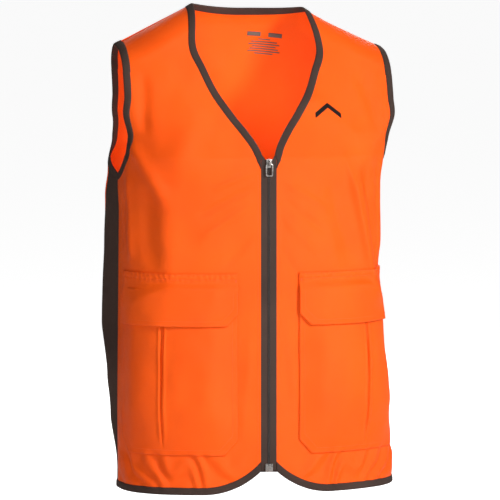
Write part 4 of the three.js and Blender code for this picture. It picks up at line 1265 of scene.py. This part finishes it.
class VEST_OT_stitching(bpy.types.Operator):
    """Topstitch the pockets, flaps, zip edges and bindings"""

    bl_idname = "vest.stitching"
    bl_label = "Topstitching"

    def execute(self, context):
        for name, side in SIDES:
            self.seam("front", name, "front_", self.pouch_lines(side) + [self.zip_line()])
            self.seam("band", name, "front_", self.band_lines(side))
            self.seam("flap", name, "flap_", self.flap_lines(side))
        return {"FINISHED"}

    def seam(self, kind, name, body, lines):
        seam = stitches(f"{kind}_stitches_{name}", dict(SIDES)[name], lines)
        finish_piece(seam, "thread", "orange_cloth")
        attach(seam, body + name)

    def pouch_lines(self, side):
        """Two rows round the pouch."""
        lines = []
        for inset in (1.8 * MM, 8.5 * MM):
            path = inset_outline(
                inset, POCKET_MOUTH_Z - 2 * MM, POCKET_BOTTOM_Z, CORNER_WIDE, CORNER_TALL, True
            )
            across, z = path.T
            lines.append((FRONT, across, z, pouch_offset(side, across, z) + CLOTH))
        return lines

    def zip_line(self):
        """One row beside the zip, from the hem's curve to the neck binding."""
        z = np.linspace(-690 * MM, V_BOTTOM_Z - 24 * MM, 260)
        beside = TAPE_HALF + 4.5 * MM
        z = z[z > front_hem_seam_z(beside)]
        return FRONT, np.full_like(z, beside), z, np.full_like(z, CLOTH)

    def band_lines(self, side):
        """Two rows along the band, with a bar tack at each end of the lower one."""
        across = np.linspace(POCKET_INNER + 1 * MM, POCKET_OUTER - 1 * MM, 120)
        rows = [(across, BAND_TOP_Z - seam) for seam in BAND_SEAMS]
        tack = np.linspace(0, 7, 8) * MM
        for k in range(6):
            height = BAND_TOP_Z - BAND_SEAMS[1] - 0.75 * k * MM
            rows += [(start + tack, height) for start in (POCKET_INNER + 1.5 * MM, POCKET_OUTER - 8 * MM)]
        lines = []
        for across, height in rows:
            z = np.full_like(across, height)
            lines.append((FRONT, across, z, flap_offset(side, across, z) + FLAP_CLOTH))
        return lines

    def flap_lines(self, side):
        """Two rows round the free edges of the flap."""
        lines = []
        for inset in (1.8 * MM, 8.0 * MM):
            path = inset_outline(
                inset, FLAP_HINGE_Z - 16 * MM, FLAP_BOTTOM_Z, FLAP_CORNER_WIDE, FLAP_CORNER_TALL, False
            )
            across, z = path.T
            lines.append((FRONT, across, z, flap_offset(side, across, z) + FLAP_CLOTH))
        return lines


# ---------- trim ----------
class VEST_OT_trim(bpy.types.Operator):
    """Add the chest emblem and the neck label"""

    bl_idname = "vest.trim"
    bl_label = "Trim"

    def execute(self, context):
        middle, reach, drop, stroke = 100 * MM, 20 * MM, 16 * MM, 8 * MM
        share = np.linspace(-1, 1, 61)
        t = np.linspace(0, 1, 9)[:, None]
        z = -150 * MM - np.abs(share) * drop + stroke * t
        across = np.broadcast_to(middle + share * reach, z.shape)
        crown = 0.5 * MM * np.sin(math.pi * t) ** 0.5 + 0 * share
        emblem, _ = cloth_piece("emblem", FRONT, 1, (across, z), CLOTH + 0.05 * MM, CLOTH + 0.5 * MM + crown)
        finish_piece(emblem, "emblem", "black_thread", "chest_emblem")
        turns_with_front(emblem, "left")
        self.label()
        return {"FINISHED"}

    def label(self):
        """A printed label inside the back neck: plain bars that spell nothing, in millimetres."""
        bars = [(-27, -6, 0, 6.5), (6, 27, 0, 6.5), (-9, 9, 10, 11.6)]
        for k, half in enumerate((20, 24, 18, 22, 25, 14)):
            bars.append((-half, half, 14 + 3.6 * k, 15.6 + 3.6 * k))
        points, faces, uvs = [], [], []
        for left, right, top, bottom in bars:
            x = (38 + np.linspace(left, right, 14)) * MM
            z = (-44 - np.linspace(top, bottom, 4)[:, None]) * MM + 0 * x
            grid = (np.broadcast_to(x, z.shape), z)
            bar, _ = cloth_piece("bar", BACK, 1, grid, -0.05 * MM, -0.35 * MM)
            faces += [tuple(len(points) + i for i in p.vertices) for p in bar.data.polygons]
            points += [tuple(v.co) for v in bar.data.vertices]
            uvs.append(np.concatenate([lengths_uv(on_cloth(BACK, 1, *grid, -0.35 * MM)).reshape(-1, 2)] * 2))
            bpy.data.objects.remove(bar)
        label = new_object("label_print", points, faces, np.concatenate(uvs))
        finish_piece(label, "print", "grey_print", "neck_label")
        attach(label, "root")


# ---------- stage ----------
# Each area light: where it stands, its size and its power.
LIGHTS = (
    ("key", (1.6, -2.4, 0.75), 0.7, 96),
    ("front", (-1.15, -2.9, 0.1), 1.0, 31),
    ("top", (0.1, -0.3, 2.1), 1.6, 9),
    ("rear", (0.55, 2.6, 0.75), 1.6, 38),
)
LIGHTS_AIM = Vector((0, 0, -0.36))


class VEST_OT_stage(bpy.types.Operator):
    """Set the floor, the lights and the camera"""

    bl_idname = "vest.stage"
    bl_label = "Stage"

    def execute(self, context):
        scene = context.scene
        scene.view_settings.view_transform = "Standard"
        floor_z = HEM_Z - 0.12
        corners = [(-40, -40, floor_z), (40, -40, floor_z), (40, 40, floor_z), (-40, 40, floor_z)]
        floor = new_object("floor", corners, [(0, 1, 2, 3)])
        paper = bpy.data.materials.new("Studio floor")
        paper.use_nodes = True
        shader = paper.node_tree.nodes["Principled BSDF"]
        shader.inputs["Base Color"].default_value = (0.93, 0.93, 0.93, 1)
        shader.inputs["Roughness"].default_value = 1.0
        shader.inputs["Emission Color"].default_value = (1, 1, 1, 1)
        self.seen_white(paper.node_tree, shader.inputs["Emission Strength"], 0.0, 0.84)
        floor.data.materials.append(paper)
        for name, place, size, power in LIGHTS:
            self.light(name, place, size, power)
        self.glow()
        world = bpy.data.worlds.new("Studio")
        world.use_nodes = True
        world.node_tree.nodes["Background"].inputs[0].default_value = (1, 1, 1, 1)
        self.seen_white(world.node_tree, world.node_tree.nodes["Background"].inputs[1], 0.12, 1.0)
        scene.world = world
        self.camera(scene)
        return {"FINISHED"}

    def seen_white(self, tree, socket, lit, seen):
        """One strength for what the camera sees and another for the light on the vest."""
        path = node(tree, "ShaderNodeLightPath")
        strength = node(tree, "ShaderNodeMapRange", {0: path.outputs["Is Camera Ray"], 3: lit, 4: seen})
        tree.links.new(strength.outputs[0], socket)

    def light(self, name, place, size, power):
        data = bpy.data.lights.new(name, "AREA")
        data.size = size
        data.energy = power
        lamp = bpy.data.objects.new(name, data)
        lamp.location = place
        lamp.rotation_euler = (LIGHTS_AIM - Vector(place)).to_track_quat("-Z", "Y").to_euler()
        bpy.context.scene.collection.objects.link(lamp)

    def glow(self):
        """Light thrown back between the orange cloths, low inside the neck."""
        data = bpy.data.lights.new("inner glow", "POINT")
        data.energy = 0.55
        data.shadow_soft_size = 0.03
        lamp = bpy.data.objects.new("inner glow", data)
        lamp.location = (0.01, -0.065, -0.19)
        lamp.visible_camera = False
        bpy.context.scene.collection.objects.link(lamp)

    def camera(self, scene):
        """The camera stands in front, turned a little to the wearer's right."""
        azimuth, elevation, distance = math.radians(-14), math.radians(5), 8.0
        level = math.cos(elevation)
        back = Vector((math.sin(azimuth) * level, -math.cos(azimuth) * level, math.sin(elevation)))
        right = Vector((math.cos(azimuth), math.sin(azimuth), 0))
        aim = right * 4.5 * MM + Vector((0, 0, -374.7 * MM))
        data = bpy.data.cameras.new("camera")
        data.lens = 379
        camera = bpy.data.objects.new("camera", data)
        camera.location = aim + back * distance
        camera.rotation_euler = (-back).to_track_quat("-Z", "Y").to_euler()
        scene.collection.objects.link(camera)
        scene.camera = camera


class VEST_PT_panel(bpy.types.Panel):
    """Lists the vest's operators and settings"""

    bl_label = "Vest"
    bl_space_type = "VIEW_3D"
    bl_region_type = "UI"
    bl_category = "Vest"

    def draw(self, context):
        for name in VestSettings.__annotations__:
            self.layout.prop(context.scene.vest_settings, name)
        for operator in OPERATORS:
            self.layout.operator(operator.bl_idname)


OPERATORS = (
    VEST_OT_stage,
    VEST_OT_materials,
    VEST_OT_panels,
    VEST_OT_bindings,
    VEST_OT_pockets,
    VEST_OT_zip,
    VEST_OT_stitching,
    VEST_OT_trim,
)
CLASSES = (VestSettings, *OPERATORS, VEST_PT_panel)


def register():
    for cls in CLASSES:
        bpy.utils.register_class(cls)
    bpy.types.Scene.vest_settings = bpy.props.PointerProperty(type=VestSettings)


def unregister():
    del bpy.types.Scene.vest_settings
    for cls in reversed(CLASSES):
        bpy.utils.unregister_class(cls)


def main():
    register()
    for operator in OPERATORS:
        group, name = operator.bl_idname.split(".")
        getattr(getattr(bpy.ops, group), name)()


if __name__ == "__main__":
    main()
